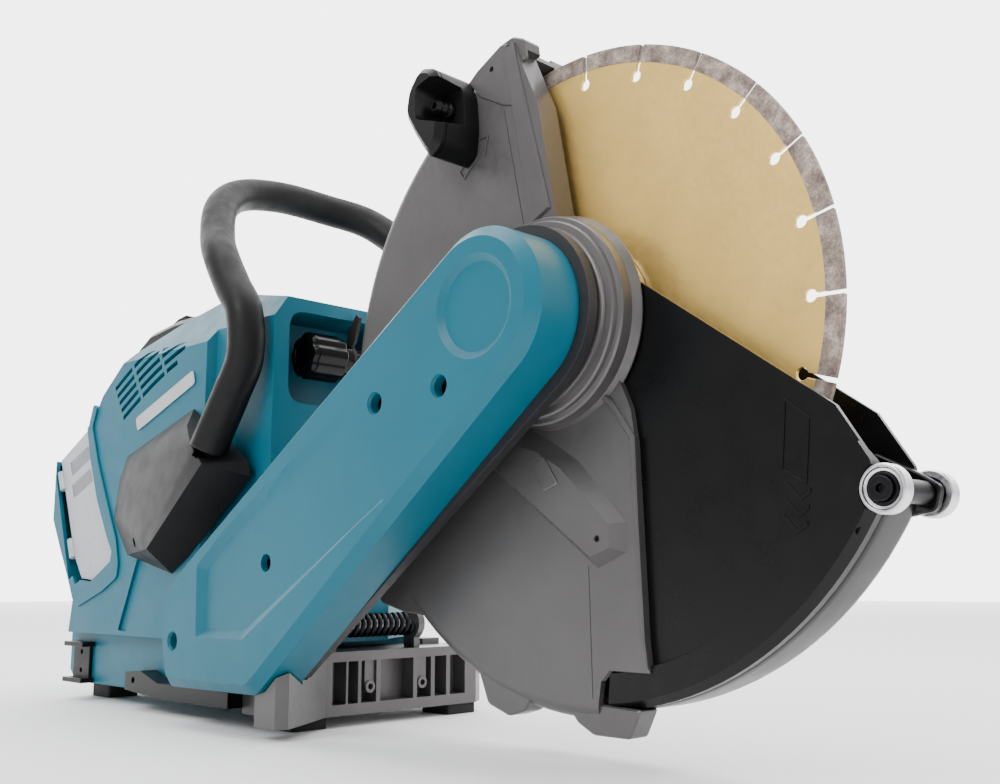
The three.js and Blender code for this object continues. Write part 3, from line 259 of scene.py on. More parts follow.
NODE_MATERIAL = {
    TEAL: ["belt_cover", "housing_right", "housing_left", "base_pan"],
    CAST_GREY: ["guard_shell", "front_stand"],
    ARM_GREY: ["belt_arm"],
    DARK_PLASTIC: ["handle_mount_right", "handle_mount_left", "battery_pack_right", "battery_pack_left",
                   "trigger", "lock_off_lever"],
    BLACK_PLASTIC: ["guard_front_shell", "guard_grip", "rear_handle", "rear_bracket_right",
                    "rear_bracket_left", "battery_terminal", "cooling_fan"],
    GLOSS_BLACK: ["water_inlet", "water_cap", "water_nozzle", "skid_rail"],
    RUBBER: ["foot_front_right", "foot_front_left", "foot_rear_right", "foot_rear_left", "drive_belt",
             "cap_strap"],
    GRIP_RUBBER: ["front_handle"],
    STEEL: ["wheel_spindle", "inner_flange", "outer_flange", "motor_rotor", "motor_bearing_left",
            "motor_bearing_right", "spindle_bearing_outer", "spindle_bearing_inner", "av_spring_rod",
            "belt_cover_screw_1", "belt_cover_screw_2", "belt_cover_screw_3",
            "belt_cover_screw_4"],
    ZINC: ["guard_roller_right", "guard_roller_left"],
    BLACK_STEEL: ["av_spring", "roller_shaft", "wheel_bolt", "driven_pulley", "motor_pulley"],
    GOLD: ["diamond_wheel"],
    LIGHT_PLASTIC: ["battery_door_right", "battery_door_left"],
    LABEL: ["name_plate"],
    COPPER: ["motor_stator"],
    BOARD: ["controller"],
}

EDGE_RADIUS = {
    "belt_cover": 1.2, "housing_right": 2.2, "housing_left": 2.2, "base_pan": 2.5, "guard_shell": 0.8,
    "guard_front_shell": 0.8, "front_stand": 1.0, "handle_mount_right": 1.6, "handle_mount_left": 1.6,
    "rear_handle": 3.0, "guard_grip": 2.0, "battery_door_right": 0.7, "battery_door_left": 0.7,
    "water_cap": 1.0, "trigger": 2.0, "lock_off_lever": 1.5,
}


def soften(obj, radius, segments=3, angle=28):
    """Rounded edges and even shading on a faceted solid."""
    bevel = obj.modifiers.new("edges", 'BEVEL')
    bevel.width = radius * 0.001
    bevel.segments = segments
    bevel.limit_method = 'ANGLE'
    bevel.angle_limit = math.radians(angle)
    bevel.miter_outer = 'MITER_ARC'
    bevel.use_clamp_overlap = True
    normals = obj.modifiers.new("normals", 'WEIGHTED_NORMAL')
    normals.keep_sharp = True
    normals.weight = 80
    for polygon in obj.data.polygons:
        polygon.use_smooth = True


def dress_node(name, material):
    obj = frame["nodes"][name]
    obj.data.materials.clear()
    obj.data.materials.append(material)
    if "custom_normal" in obj.data.attributes:
        obj.data.attributes.remove(obj.data.attributes["custom_normal"])
    weld = obj.modifiers.new("weld", 'WELD')
    weld.merge_threshold = 0.000005
    flat = obj.modifiers.new("planes", 'DECIMATE')
    flat.decimate_type = 'DISSOLVE'
    flat.angle_limit = math.radians(0.6)
    soften(obj, EDGE_RADIUS.get(name, 0.5))


# ---------------------------------------------------------------- shape helpers

def piece(name, mesh, body, slot, material, *nodes):
    """A new object that rides on a body and stands for CAD nodes."""
    obj = bpy.data.objects.new(name, mesh)
    bpy.context.scene.collection.objects.link(obj)
    mesh.materials.append(material)
    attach(obj, body)
    if nodes:
        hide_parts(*nodes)
    return obj


def mesh_of(bm, name):
    bmesh.ops.recalc_face_normals(bm, faces=bm.faces)
    mesh = bpy.data.meshes.new(name)
    bm.to_mesh(mesh)
    bm.free()
    return mesh


def circle(centre, r, steps=48, start=0.0):
    return [(centre[0] + r * math.cos(start + 2 * math.pi * i / steps),
             centre[1] + r * math.sin(start + 2 * math.pi * i / steps)) for i in range(steps)]


def add_prism(bm, outline, y0, y1):
    """An outline in X and Z, given thickness along Y."""
    near = [bm.verts.new(place(x, y0, z)) for x, z in outline]
    far = [bm.verts.new(place(x, y1, z)) for x, z in outline]
    bm.faces.new(near)
    bm.faces.new(far[::-1])
    count = len(outline)
    for i in range(count):
        j = (i + 1) % count
        bm.faces.new((near[j], near[i], far[i], far[j]))


def add_loft(bm, near, far):
    """A solid between two outlines of equal count; points are (x, y, z)."""
    a = [bm.verts.new(place(*p)) for p in near]
    b = [bm.verts.new(place(*p)) for p in far]
    bm.faces.new(a)
    bm.faces.new(b[::-1])
    count = len(a)
    for i in range(count):
        j = (i + 1) % count
        bm.faces.new((a[j], a[i], b[i], b[j]))


def add_chamfered(bm, outline, y0, y1, chamfer, far_chamfer=0.0, corner=0.0):
    """A prism with rounded corners whose near edge, and maybe far edge, is chamfered."""
    depths = [(chamfer, y0), (0.0, y0 + chamfer)]
    if far_chamfer:
        depths += [(0.0, y1 - far_chamfer), (far_chamfer, y1)]
    else:
        depths += [(0.0, y1)]
    loops = []
    for depth, y in depths:
        ring = rounded(offset(outline, -depth), corner * 0.8 + 0.01) if corner else offset(outline, -depth)
        loops.append([bm.verts.new(place(x, y, z)) for x, z in ring])
    bm.faces.new(loops[0])
    bm.faces.new(loops[-1][::-1])
    count = len(loops[0])
    for a, b in zip(loops, loops[1:]):
        for i in range(count):
            j = (i + 1) % count
            bm.faces.new((a[j], a[i], b[i], b[j]))


def add_lathe(bm, profile, centre, steps=96):
    """A turned solid about a Y axis; profile points are (radius, y), closed through the axis."""
    rings = []
    for r, y in profile:
        if r == 0:
            rings.append([bm.verts.new(place(centre[0], y, centre[1]))] * steps)
            continue
        rings.append([bm.verts.new(place(centre[0] + r * math.cos(a), y, centre[1] + r * math.sin(a)))
                      for a in (2 * math.pi * k / steps for k in range(steps))])
    pairs = list(zip(rings, rings[1:] + rings[:1]))
    for ring_a, ring_b in pairs:
        if ring_a[0] is ring_a[1] and ring_b[0] is ring_b[1]:
            continue
        for k in range(steps):
            m = (k + 1) % steps
            corners = []
            for v in (ring_a[k], ring_a[m], ring_b[m], ring_b[k]):
                if v not in corners:
                    corners.append(v)
            bm.faces.new(corners)


def solid(add, *args):
    """A working object made by one of the add functions."""
    bm = bmesh.new()
    add(bm, *args)
    obj = bpy.data.objects.new("work", mesh_of(bm, "work"))
    bpy.context.scene.collection.objects.link(obj)
    return obj


def combine(operation, base, *tools):
    """Joins, cuts or intersects working objects; the tools are used up."""
    for tool in tools:
        step = base.modifiers.new("step", 'BOOLEAN')
        step.operation = operation
        step.object = tool
        step.solver = 'EXACT'
    settle(base)
    for tool in tools:
        bpy.data.objects.remove(tool)
    return base


def settle(obj):
    """Turns an object's modifiers into its mesh."""
    bpy.context.view_layer.update()
    made = bpy.data.meshes.new_from_object(obj.evaluated_get(bpy.context.evaluated_depsgraph_get()))
    obj.modifiers.clear()
    obj.data = made


def finished(name, obj, body, slot, material, *nodes, radius=0.6, angle=28):
    """Names a working object and gives it its body, material and soft edges; the slot argument is not used.
    """
    obj.name = name
    obj.data.name = name
    obj.data.materials.clear()
    obj.data.materials.append(material)
    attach(obj, body)
    if nodes:
        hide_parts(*nodes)
    weld = obj.modifiers.new("weld", 'WELD')
    weld.merge_threshold = 0.00001
    flat = obj.modifiers.new("planes", 'DECIMATE')
    flat.decimate_type = 'DISSOLVE'
    flat.angle_limit = math.radians(0.6)
    soften(obj, radius, 3, angle)
    return obj


def rounded(points, r, steps=5):
    """Corners of an outline rounded to a radius, as far as the sides allow."""
    out = []
    for i, p in enumerate(points):
        a, b, c = Vector(points[i - 1]), Vector(p), Vector(points[(i + 1) % len(points)])
        if (b - a).angle(c - b) < 0.14:
            out.append((b.x, b.y))
            continue
        reach = min(r, (a - b).length * 0.45, (c - b).length * 0.45)
        start = b + (a - b).normalized() * reach
        end = b + (c - b).normalized() * reach
        for k in range(steps + 1):
            t = k / steps
            q = start.lerp(b, t).lerp(b.lerp(end, t), t)
            out.append((q.x, q.y))
    return out


def offset(points, distance):
    """An outline moved in (negative) or out (positive)."""
    area = sum(a[0] * b[1] - b[0] * a[1] for a, b in zip(points, points[1:] + points[:1]))
    side = 1 if area > 0 else -1
    out = []
    for i, p in enumerate(points):
        a, b, c = Vector(points[i - 1]), Vector(p), Vector(points[(i + 1) % len(points)])
        n1 = Vector((b.y - a.y, a.x - b.x)).normalized()
        n2 = Vector((c.y - b.y, b.x - c.x)).normalized()
        mid = (n1 + n2).normalized()
        reach = side * distance / max(mid.dot(n1), 0.5)
        out.append((b.x + mid.x * reach, b.y + mid.y * reach))
    return out


def arc(centre, r, start, end, steps):
    """Points on a circle from one angle to another, in degrees."""
    turns = [math.radians(start + (end - start) * i / steps) for i in range(steps + 1)]
    return [(centre[0] + r * math.cos(t), centre[1] + r * math.sin(t)) for t in turns]


def add_tube(bm, path, r, sides=24):
    """A round tube through points in millimetres, with closed ends."""
    points = [place(*p) for p in path]
    rings = []
    side = None
    for i, point in enumerate(points):
        ahead = points[min(i + 1, len(points) - 1)]
        behind = points[max(i - 1, 0)]
        along = (ahead - behind).normalized()
        if side is None:
            side = along.orthogonal().normalized()
        side = (side - along * side.dot(along)).normalized()
        across = along.cross(side)
        rings.append([bm.verts.new(point + (side * math.cos(a) + across * math.sin(a)) * r * 0.001)
                      for a in (2 * math.pi * k / sides for k in range(sides))])
    for a, b in zip(rings, rings[1:]):
        for k in range(sides):
            m = (k + 1) % sides
            bm.faces.new((a[k], a[m], b[m], b[k]))
    bm.faces.new(rings[0][::-1])
    bm.faces.new(rings[-1])


def smooth_path(points, per_span=8):
    """Centripetal spline through the points, as the solid model uses."""
    p = [Vector(q) for q in points]
    p = [2 * p[0] - p[1]] + p + [2 * p[-1] - p[-2]]
    out = []
    for i in range(1, len(p) - 2):
        knots = [0.0]
        for a, b in zip(p[i - 1:i + 2], p[i:i + 3]):
            knots.append(knots[-1] + (b - a).length ** 0.5)
        k0, k1, k2, k3 = knots
        for step in range(per_span):
            t = k1 + (k2 - k1) * step / per_span
            a1 = p[i - 1].lerp(p[i], (t - k0) / (k1 - k0))
            a2 = p[i].lerp(p[i + 1], (t - k1) / (k2 - k1))
            a3 = p[i + 1].lerp(p[i + 2], (t - k2) / (k3 - k2))
            b1 = a1.lerp(a2, (t - k0) / (k2 - k0))
            b2 = a2.lerp(a3, (t - k1) / (k3 - k1))
            out.append(b1.lerp(b2, (t - k1) / (k2 - k1)))
    out.append(p[-2])
    return out


def shade_smooth(obj):
    for polygon in obj.data.polygons:
        polygon.use_smooth = True


# ---------------------------------------------------------------- cutting wheel

def core_outline():
    """Round disc with a keyhole slot at each gap between segments."""
    half = SLOT_W / 2
    hole_at = WHEEL_R - SLOT_HOLE_AT
    neck = hole_at + math.sqrt(SLOT_HOLE_R ** 2 - half ** 2)
    mouth = math.sqrt(CORE_R ** 2 - half ** 2)
    lean = math.asin(half / SLOT_HOLE_R)
    points = []
    for i in range(SEGMENTS):
        a = math.radians(SLOT_PHASE + 360 * i / SEGMENTS)

        def at(radial, across):
            return (radial * math.cos(a) - across * math.sin(a),
                    AXLE_Z + radial * math.sin(a) + across * math.cos(a))
        points += [at(mouth, -half), at(neck, -half)]
        for step in range(1, 12):
            turn = -lean - (2 * math.pi - 2 * lean) * step / 12
            points.append(at(hole_at + SLOT_HOLE_R * math.cos(turn), SLOT_HOLE_R * math.sin(turn)))
        points += [at(neck, half), at(mouth, half)]
        edge = half / CORE_R
        span = 2 * math.pi / SEGMENTS
        for step in range(1, 8):
            b = a + edge + (span - 2 * edge) * step / 8
            points.append((CORE_R * math.cos(b), AXLE_Z + CORE_R * math.sin(b)))
    return points


def build_wheel():
    bm = bmesh.new()
    add_prism(bm, core_outline(), -CORE_T / 2, CORE_T / 2)
    core = piece("wheel_core", mesh_of(bm, "wheel_core"), "wheel", "wheel_gold", GOLD, "diamond_wheel")
    soften(core, 0.25, 2)
    bm = bmesh.new()
    edge = math.asin(SLOT_W / 2 / WHEEL_R)
    span = 2 * math.pi / SEGMENTS
    for i in range(SEGMENTS):
        start = math.radians(SLOT_PHASE) + span * i + edge
        turns = [start + (span - 2 * edge) * step / 8 for step in range(9)]
        outline = [(WHEEL_R * math.cos(t), AXLE_Z + WHEEL_R * math.sin(t)) for t in turns]
        outline += [((CORE_R - 0.3) * math.cos(t), AXLE_Z + (CORE_R - 0.3) * math.sin(t))
                    for t in reversed(turns)]
        add_prism(bm, outline, -WHEEL_T / 2, WHEEL_T / 2)
    segments = piece("wheel_segments", mesh_of(bm, "wheel_segments"), "wheel", "wheel_gold", GRIT,
                     "diamond_wheel")
    soften(segments, 0.3, 2)


# ---------------------------------------------------------------- spring and handle

def build_spring():
    r = SPRING_R - SPRING_WIRE_R
    y0, y1 = SPRING_ENDS[0] + SPRING_WIRE_R, SPRING_ENDS[1] - SPRING_WIRE_R
    steps = 24 * SPRING_TURNS
    path = []
    for i in range(steps + 1):
        a = 2 * math.pi * SPRING_TURNS * i / steps
        path.append((SPRING_X + r * math.cos(a), y0 + (y1 - y0) * i / steps, SPRING_Z + r * math.sin(a)))
    bm = bmesh.new()
    add_tube(bm, path, SPRING_WIRE_R, 10)
    shade_smooth(piece("spring_coil", mesh_of(bm, "spring_coil"), "saw", "black_steel", BLACK_STEEL,
                       "av_spring"))


HANDLE_POINTS = [
    (-304.6, -76.1, 200.4), TUBE_END, (-286, -69, 242), (-276, -65, 268), (-279, -65, 304),
    (-297, -64.5, 327),
    (-318, -62, 353), (-342, -52, 375), (-374, -30, 415), (-392, 0, 437), (-398, 45, 447),
    (-388, 90, 443), (-362, 120, 430), (-325, 138, 395), (-300, 146, 344), (-280, 148, 300),
    (-276, 148, 268), (-286, 147, 242), (TUBE_END[0], 2 * BODY_MID_Y - TUBE_END[1], TUBE_END[2]),
    (-304.6, 152.1, 200.4),
]


def build_handle():
    bm = bmesh.new()
    add_tube(bm, smooth_path(HANDLE_POINTS, 7), HANDLE_R, 40)
    shade_smooth(piece("handle_tube", mesh_of(bm, "handle_tube"), "saw", "rubber", GRIP_RUBBER,
                       "front_handle"))


# ---------------------------------------------------------------- belt cover

def build_cover():
    outline = arc(AXLE, 47, -55, 122, 40) + [
        (-271, 140), (-307, 117), (-324, 103), (-333, 86), (-334, 60), (-326, 28), (-214, 29)]
    cover = solid(add_chamfered, outline, COVER_Y[0], COVER_Y[1], 7, 0, 7)
    hollow = solid(add_prism, rounded(offset(outline, -4), 4), COVER_Y[0] + 8, COVER_Y[1] + 1)
    recess = solid(add_lathe, [
        (0, -96), (31, -96), (30.4, COVER_Y[0]), (26, COVER_Y[0] + 3), (0, COVER_Y[0] + 3)], AXLE, 72)
    edge = [
        (-283, 115), (-250, 138), (-204, 165), (-160, 188), (-112, 211), (-66, 152), (-223, 65), (-281, 65)]
    floor = rounded(offset(edge, -6), 3, 3)

    def sunk(x):
        return COVER_Y[0] + PANEL_DEPTH * (-70 - x) / 210
    wide = rounded(offset(edge, 1.2), 3, 3)
    panel = solid(add_loft, [(x, COVER_Y[0] - 0.7, z) for x, z in wide], [(x, sunk(x), z) for x, z in floor])
    holes = [solid(add_lathe, [(0, -96), (7.4, -96), (6.8, -93.4), (5.9, -92), (5.9, -80), (0, -80)], at, 32)
             for at in COVER_SCREWS]
    combine('DIFFERENCE', cover, hollow, recess, panel, *holes)
    finished("cover_shell", cover, "saw", "cover_teal", TEAL, "belt_cover", radius=1.1, angle=24)


# ---------------------------------------------------------------- wheel guard

def guard_pan(radius, half, wall, corner):
    """A round pan about the guard's centre with rolled rims, as a hollow shell."""
    def profile(r, h, c):
        side = [(0, -h), (r - c, -h)]
        side += [(r - c + c * math.sin(t), -h + c - c * math.cos(t))
                 for t in (math.radians(a) for a in (18, 36, 54, 72, 90))]
        return side + [(r, -y) for r, y in reversed(side)]
    outer = solid(add_lathe, profile(radius, half, corner), GUARD_CENTRE, 128)
    inner = solid(add_lathe, profile(radius - wall, half - wall, max(corner - wall, 1.5)), GUARD_CENTRE, 128)
    return combine('DIFFERENCE', outer, inner)


def arrow_outline():
    """A plain direction arrow, drawn as a thin raised outline."""
    tip, turn = (-55, 392), math.radians(40)
    shape = [(0, 0), (-12, 9), (-12, 4), (-34, 4), (-34, -4), (-12, -4), (-12, -9)]
    across, up = math.cos(turn), math.sin(turn)
    return [(tip[0] + x * across - z * up, tip[1] + x * up + z * across) for x, z in shape]


def build_guard():
    y0 = -GUARD_HALF_W
    sector = [(-40, 480), (-260, 480), (-260, -10), (28, -10), (30, 26), (34, 50), (40, 56), (68, 56),
              (66, 73), (63, 137), (61, 181), (58, 200), (40, 240), (6, 290), (6, 308), (-12, 402),
              (-33, 448)]
    shell = guard_pan(GUARD_R, GUARD_HALF_W, 4, 9)
    combine('INTERSECT', shell, solid(add_prism, sector, -60, 60))
    hub = solid(add_lathe, [
        (40.6, -47.5), (52, -47.5), (54.5, -46.4), (55, -44.5), (55, -43.5), (58.5, -43), (59.5, -42),
        (59.7, -39.4), (62, -39), (63, -37.8), (63, -30), (66, -25), (66, -24), (40.6, -24)], AXLE, 96)
    lips = [solid(add_prism, [(-33, 448), (-37, 447), (-16, 400), (2.5, 306), (6, 308), (-12, 402)], a, b)
            for a, b in ((y0 + 0.5, -9), (9, -y0 - 0.5))]
    bead = solid(add_chamfered, [(-42, 444), (-17, 322), (-1, 330), (-33, 449)], y0 - 1.6, y0 + 2, 1.2)
    plate = solid(add_chamfered, [(-74, 433), (-66, 439), (-44, 450), (-38, 449), (-32, 405), (-42, 408),
                                  (-63, 420)], y0 - 1.0, y0 + 2, 0.6)
    pad_top = [(-40, 190), (-8, 180), (11, 169), (46, 136), (47, 123), (33, 118), (-60, 184)]
    pad_foot = [(-36, 204), (-4, 189), (20, 174), (55, 137), (54, 120), (33, 111), (-66, 184)]
    pad = solid(add_loft, [(x, y0 - 7, z) for x, z in pad_top], [(x, y0 + 1, z) for x, z in pad_foot])
    rib_edge = [(30, 214), (44, 202), (58, 183), (60, 137), (62, 100), (64, 62), (68, 58), (66, 73),
                (63, 137), (61.5, 184), (47, 204), (34, 218)]
    rib = solid(add_chamfered, rib_edge, y0 - 2.2, y0 + 2, 0.9)
    lugs = [solid(add_chamfered, points, y0 + 2, y0 + 18, 1.0, 1.0, 3) for points in (
        [(-66, 50), (-58, 31), (-40, 25), (-26, 29), (-18, 42)],
        [(4, 38), (14, 26), (26, 20), (52, 20), (60, 36)],
        [(-146, 110), (-165, 104), (-162, 90), (-138, 84), (-116, 82), (-108, 100)],
        [(-76, 434), (-48, 452), (-36, 454.5), (-26, 450), (-24, 436), (-68, 420)])]
    for lug in lugs:
        combine('DIFFERENCE', lug, solid(add_lathe, [(0, -22), (207.5, -22), (207.5, 22), (0, 22)],
                                         GUARD_CENTRE, 128))
    combine('UNION', shell, hub, *lips, bead, plate, pad, rib, *lugs)
    bore = solid(add_lathe, [(0, -60), (40.6, -60), (40.6, -20), (0, -20)], AXLE, 72)
    change = solid(add_lathe, [(0, 10), (75, 10), (75, 40), (0, 40)], AXLE, 72)
    screws = [solid(add_lathe, [(0, y - 2), (1.9, y - 2), (1.9, y + 3), (0, y + 3)], at, 20)
              for at, y in (((38, 128), y0 - 7), ((-52, 436), y0 - 1), ((-108, 402), y0))]
    groove = solid(add_prism, [(-41.4, 404), (-40.6, 404), (-23.6, 325), (-24.4, 325)], y0 - 1, y0 + 0.4)
    seam = solid(add_prism, [(25.7, 113), (26.3, 113), (28.3, 40), (27.7, 40)], y0 - 1, y0 + 0.35)
    combine('DIFFERENCE', shell, bore, change, groove, seam, *screws)
    finished("guard_rear", shell, "guard", "cast_grey", CAST_GREY, "guard_shell", radius=0.9, angle=26)
    arrow = solid(add_prism, arrow_outline(), y0 - 0.8, y0 + 0.2)
    combine('DIFFERENCE', arrow, solid(add_prism, offset(arrow_outline(), -1.0), y0 - 1, y0 + 1))
    finished("guard_arrow", arrow, "guard", "cast_grey", CAST_GREY, radius=0.15)
    letter = solid(add_chamfered, [(-14, 174), (-2, 178), (10, 160), (-2, 156)], y0 - 8, y0 - 6, 0.6, 0, 3)
    finished("guard_boss", letter, "guard", "cast_grey", CAST_GREY, radius=0.3)


def build_front_shell():
    half = GUARD_HALF_W - 4.3
    radius = GUARD_R - 4.3
    sector = [(40, 60), (36, 20), (40, -20), (260, -20), (260, 112), (203, 133), (204, 142), (199, 162),
              (181, 190), (57, 277), (30, 250), (34, 200)]
    shell = guard_pan(radius, half, 3, 12)
    rail = solid(add_lathe, [(radius - 21, -half - 3), (radius - 5, -half - 3), (radius - 1, -half + 2),
                             (radius - 1, -half + 10), (radius - 4, -half + 10), (radius - 22, -half + 1)],
                 GUARD_CENTRE, 128)
    combine('UNION', shell, rail)
    combine('INTERSECT', shell, solid(add_prism, sector, -60, 60))
    shaft = (ROLLER_AT[0], ROLLER_AT[1])
    ears = []
    for a, b in ((-half + 3.5, -half + 9), (half - 9, half - 3.5)):
        ears.append(solid(add_chamfered, [
            (shaft[0] - 26, shaft[1] + 22), (shaft[0] - 2, shaft[1] + 10), (shaft[0] + 9, shaft[1] + 3),
            (shaft[0] + 6, shaft[1] - 9), (shaft[0] - 12, shaft[1] - 12), (shaft[0] - 30, shaft[1] - 6)],
            a, b, 0.8, 0.8, 4))
    combine('UNION', shell, *ears)
    rooms = [solid(add_lathe, [(0, a), (13.5, a), (13.5, b), (0, b)], shaft, 40)
             for a, b in ((-60, -20.3), (20.3, 60))]
    hub_room = solid(add_lathe, [(0, -60), (63.8, -60), (63.8, 0), (0, 0)], AXLE, 72)
    change = solid(add_lathe, [(0, 0), (75, 0), (75, 60), (0, 60)], AXLE, 72)
    bore = solid(add_lathe, [(0, -60), (6.3, -60), (6.3, 60), (0, 60)], shaft, 32)
    screws = [solid(add_lathe, [(0, -half - 4), (2.4, -half - 4), (2.4, -half - 1), (0, -half - 1)], at, 20)
              for at in ((131, 66), (192, 128))]
    combine('DIFFERENCE', shell, hub_room, change, bore, *rooms, *screws)
    finished("guard_front", shell, "guard", "black_plastic", SHELL_BLACK, "guard_front_shell",
             radius=0.8, angle=26)
    bm = bmesh.new()
    for k in range(3):
        x, z = 160 - 1.2 * k, 148 - 8 * k
        chevron = [(x - 7, z + 4), (x, z - 4), (x + 6, z), (x + 6, z + 2.2), (x, z - 1.6), (x - 7, z + 6.2)]
        add_prism(bm, chevron, -half - 0.5, -half + 0.5)
    marks = piece("guard_chevrons", mesh_of(bm, "guard_chevrons"), "guard", "black_plastic", SHELL_BLACK)
    soften(marks, 0.15, 2)
    frame_outline = [(153, 196), (167, 185), (164, 152), (150, 160)]
    bar = solid(add_prism, frame_outline, -half - 0.5, -half + 0.5)
    combine('DIFFERENCE', bar, solid(add_prism, offset(frame_outline, -0.9), -half - 1, -half + 1))
    finished("guard_bar", bar, "guard", "black_plastic", SHELL_BLACK, radius=0.15)


def build_rollers():
    for name, y0, y1 in (("right", -28.9, -20.6), ("left", 20.6, 28.9)):
        face = y0 if name == "right" else y1
        inward = 1 if name == "right" else -1
        ring = solid(add_lathe, [
            (8.2, face + inward * 1.2), (9.6, face + inward * 1.0), (10.2, face), (11.2, face),
            (12, face + inward * 0.9), (12, face + inward * 7.4), (11.2, face + inward * 8.3),
            (8.2, face + inward * 8.3)], ROLLER_AT, 64)
        finished(f"roller_ring_{name}", ring, f"roller_{name}", "zinc", ZINC, f"guard_roller_{name}",
                 radius=0.2)
        bush = solid(add_lathe, [
            (6.3, face + inward * 0.6), (7.6, face + inward * 0.6), (8.2, face + inward * 1.6),
            (8.2, face + inward * 8.0), (6.3, face + inward * 8.0)], ROLLER_AT, 48)
        finished(f"roller_bush_{name}", bush, f"roller_{name}", "zinc", BLACK_STEEL, radius=0.2)


def build_grip():
    outline = [(-100, 408), (-97, 424), (-86, 437), (-72, 433), (-66, 420), (-64, 396), (-66, 380),
               (-76, 373), (-90, 392)]
    block = solid(add_chamfered, outline, GRIP_Y[0], GRIP_Y[1], 4, 0, 5)
    scoop = solid(add_loft, [(x, GRIP_Y[0] - 3, z) for x, z in rounded([
        (-88, 424), (-88, 401), (-50, 388), (-50, 432)], 5)],
        [(x, -40, z) for x, z in rounded([(-86, 420), (-86, 404), (-52, 394), (-52, 428)], 5)])
    way = solid(add_lathe, [(0, -60), (5.9, -60), (5.9, -20), (0, -20)], NOZZLE, 32)
    line = solid(add_prism, [(-120, 360), (-120, 450), (-40, 450), (-40, 360)], -56.3, -55.7)
    combine('DIFFERENCE', line, solid(add_prism, rounded(offset(outline, -0.8), 4), -57, -55))
    combine('DIFFERENCE', block, scoop, way, line)
    finished("grip_block", block, "guard", "black_plastic", BLACK_PLASTIC, "guard_grip", radius=2.0, angle=26)
    nozzle = solid(add_lathe, [
        (2.2, -54), (3.6, -54), (4.9, -51.3), (5.0, -50.9), (3.6, -50.2), (3.6, -49), (4.9, -46.6),
        (5.0, -46.2), (3.6, -45.5), (3.6, -44), (5.5, -43), (5.5, -27.4), (2.2, -27.4)], NOZZLE, 40)
    finished("nozzle_barb", nozzle, "guard", "gloss_black", BLACK_PLASTIC, "water_nozzle", radius=0.25)
    collar = solid(add_lathe, [(5.7, -31), (8.2, -31), (8.8, -30.3), (8.8, -27.2), (5.7, -27.2)], NOZZLE, 40)
    finished("nozzle_collar", collar, "guard", "steel", STEEL, radius=0.2)


def build_cap():
    outline = []
    for k in range(96):
        turn = 2 * math.pi * k / 96
        r = 18.6 - 1.5 * abs(math.sin(4 * turn)) ** 6
        outline.append((INLET[0] + r * math.cos(turn), INLET[1] + r * math.sin(turn)))
    knob = solid(add_chamfered, outline, -17, 15, 3, 2)
    dish = solid(add_lathe, [(0, -19), (12.5, -19), (11.5, -15.5), (0, -15.5)], INLET, 48)
    combine('DIFFERENCE', knob, dish)
    finished("cap_knob", knob, "water_cap", "gloss_black", GLOSS_BLACK, "water_cap", radius=0.9)


# ---------------------------------------------------------------- housing

BODY_SIDE = [
    (-262, 318), (-345, 336), (-372, 334), (-422, 320), (-472, 300), (-519, 267), (-535, 246), (-593, 218),
    (-620, 212), (-620, 183), (-604, 156), (-588, 132), (-571, 108), (-557, 86), (-562, 58), (-254, 58),
    (-254, 132), (-262, 150)]
DOOR_OUTLINE = [
    (-592, 221), (-548, 242), (-537, 209), (-521, 174), (-500, 142), (-489, 128), (-491, 120), (-525, 103),
    (-550, 105), (-567, 126), (-595, 190), (-605, 215)]


def add_slab(bm, outline, low, high, along):
    """An outline given thickness along X or Z; points are (y, z) or (x, y)."""
    def at(p, t):
        return place(t, p[0], p[1]) if along == 'X' else place(p[0], p[1], t)
    a = [bm.verts.new(at(p, low)) for p in outline]
    b = [bm.verts.new(at(p, high)) for p in outline]
    bm.faces.new(a)
    bm.faces.new(b[::-1])
    for i in range(len(outline)):
        j = (i + 1) % len(outline)
        bm.faces.new((a[j], a[i], b[i], b[j]))


def vent_slots():
    """Rows of slanted slots in three columns, slightly arched."""
    bm = bmesh.new()
    rise = math.radians(21.5)
    for row in range(5):
        x0, z0 = -495 + 4.3 * row, 268 - 6.8 * row
        for column, (a, b) in enumerate(((0, 32), (36, 74), (78, 112))):
            if row == 4 and column == 2:
                b = 96
            low, high = [], []
            for k in range(7):
                s = a + (b - a) * k / 6
                up = 4.5 * math.sin(math.pi * s / 130)
                x = x0 + s * math.cos(rise) - up * math.sin(rise)
                z = z0 + s * math.sin(rise) + up * math.cos(rise)
                low.append((x, z))
                high.append((x - 1.2, z + 3.9))
            add_prism(bm, low + high[::-1], -60, -52)
            add_prism(bm, low + high[::-1], 2 * BODY_MID_Y + 52, 2 * BODY_MID_Y + 60)
    obj = bpy.data.objects.new("work", mesh_of(bm, "work"))
    bpy.context.scene.collection.objects.link(obj)
    return obj


def body_form(inset):
    """The housing's outer form, or the same form drawn in by a wall thickness."""
    right, left = BODY_MID_Y - BODY_HALF_W, BODY_MID_Y + BODY_HALF_W
    front = [(-200, 40), (-262, 62), (-300, left - 7), (-341, left - 7), (-345, left), (-606, left),
             (-640, left - 16), (-640, right + 16), (-606, right), (-345, right), (-341, right + 7),
             (-200, right + 7)]
    section = [(right, 0), (left, 0), (left, 268), (104, 318), (60, 336.5), (-24, 336.5), (right, 292)]
    form = solid(add_prism, offset(BODY_SIDE, -inset), right + inset, left - inset)
    plan = solid(add_slab, offset(front, -inset), 0, 400, 'Z')
    end = solid(add_slab, offset(section, -inset), -700, -190, 'X')
    return combine('INTERSECT', form, plan, end)


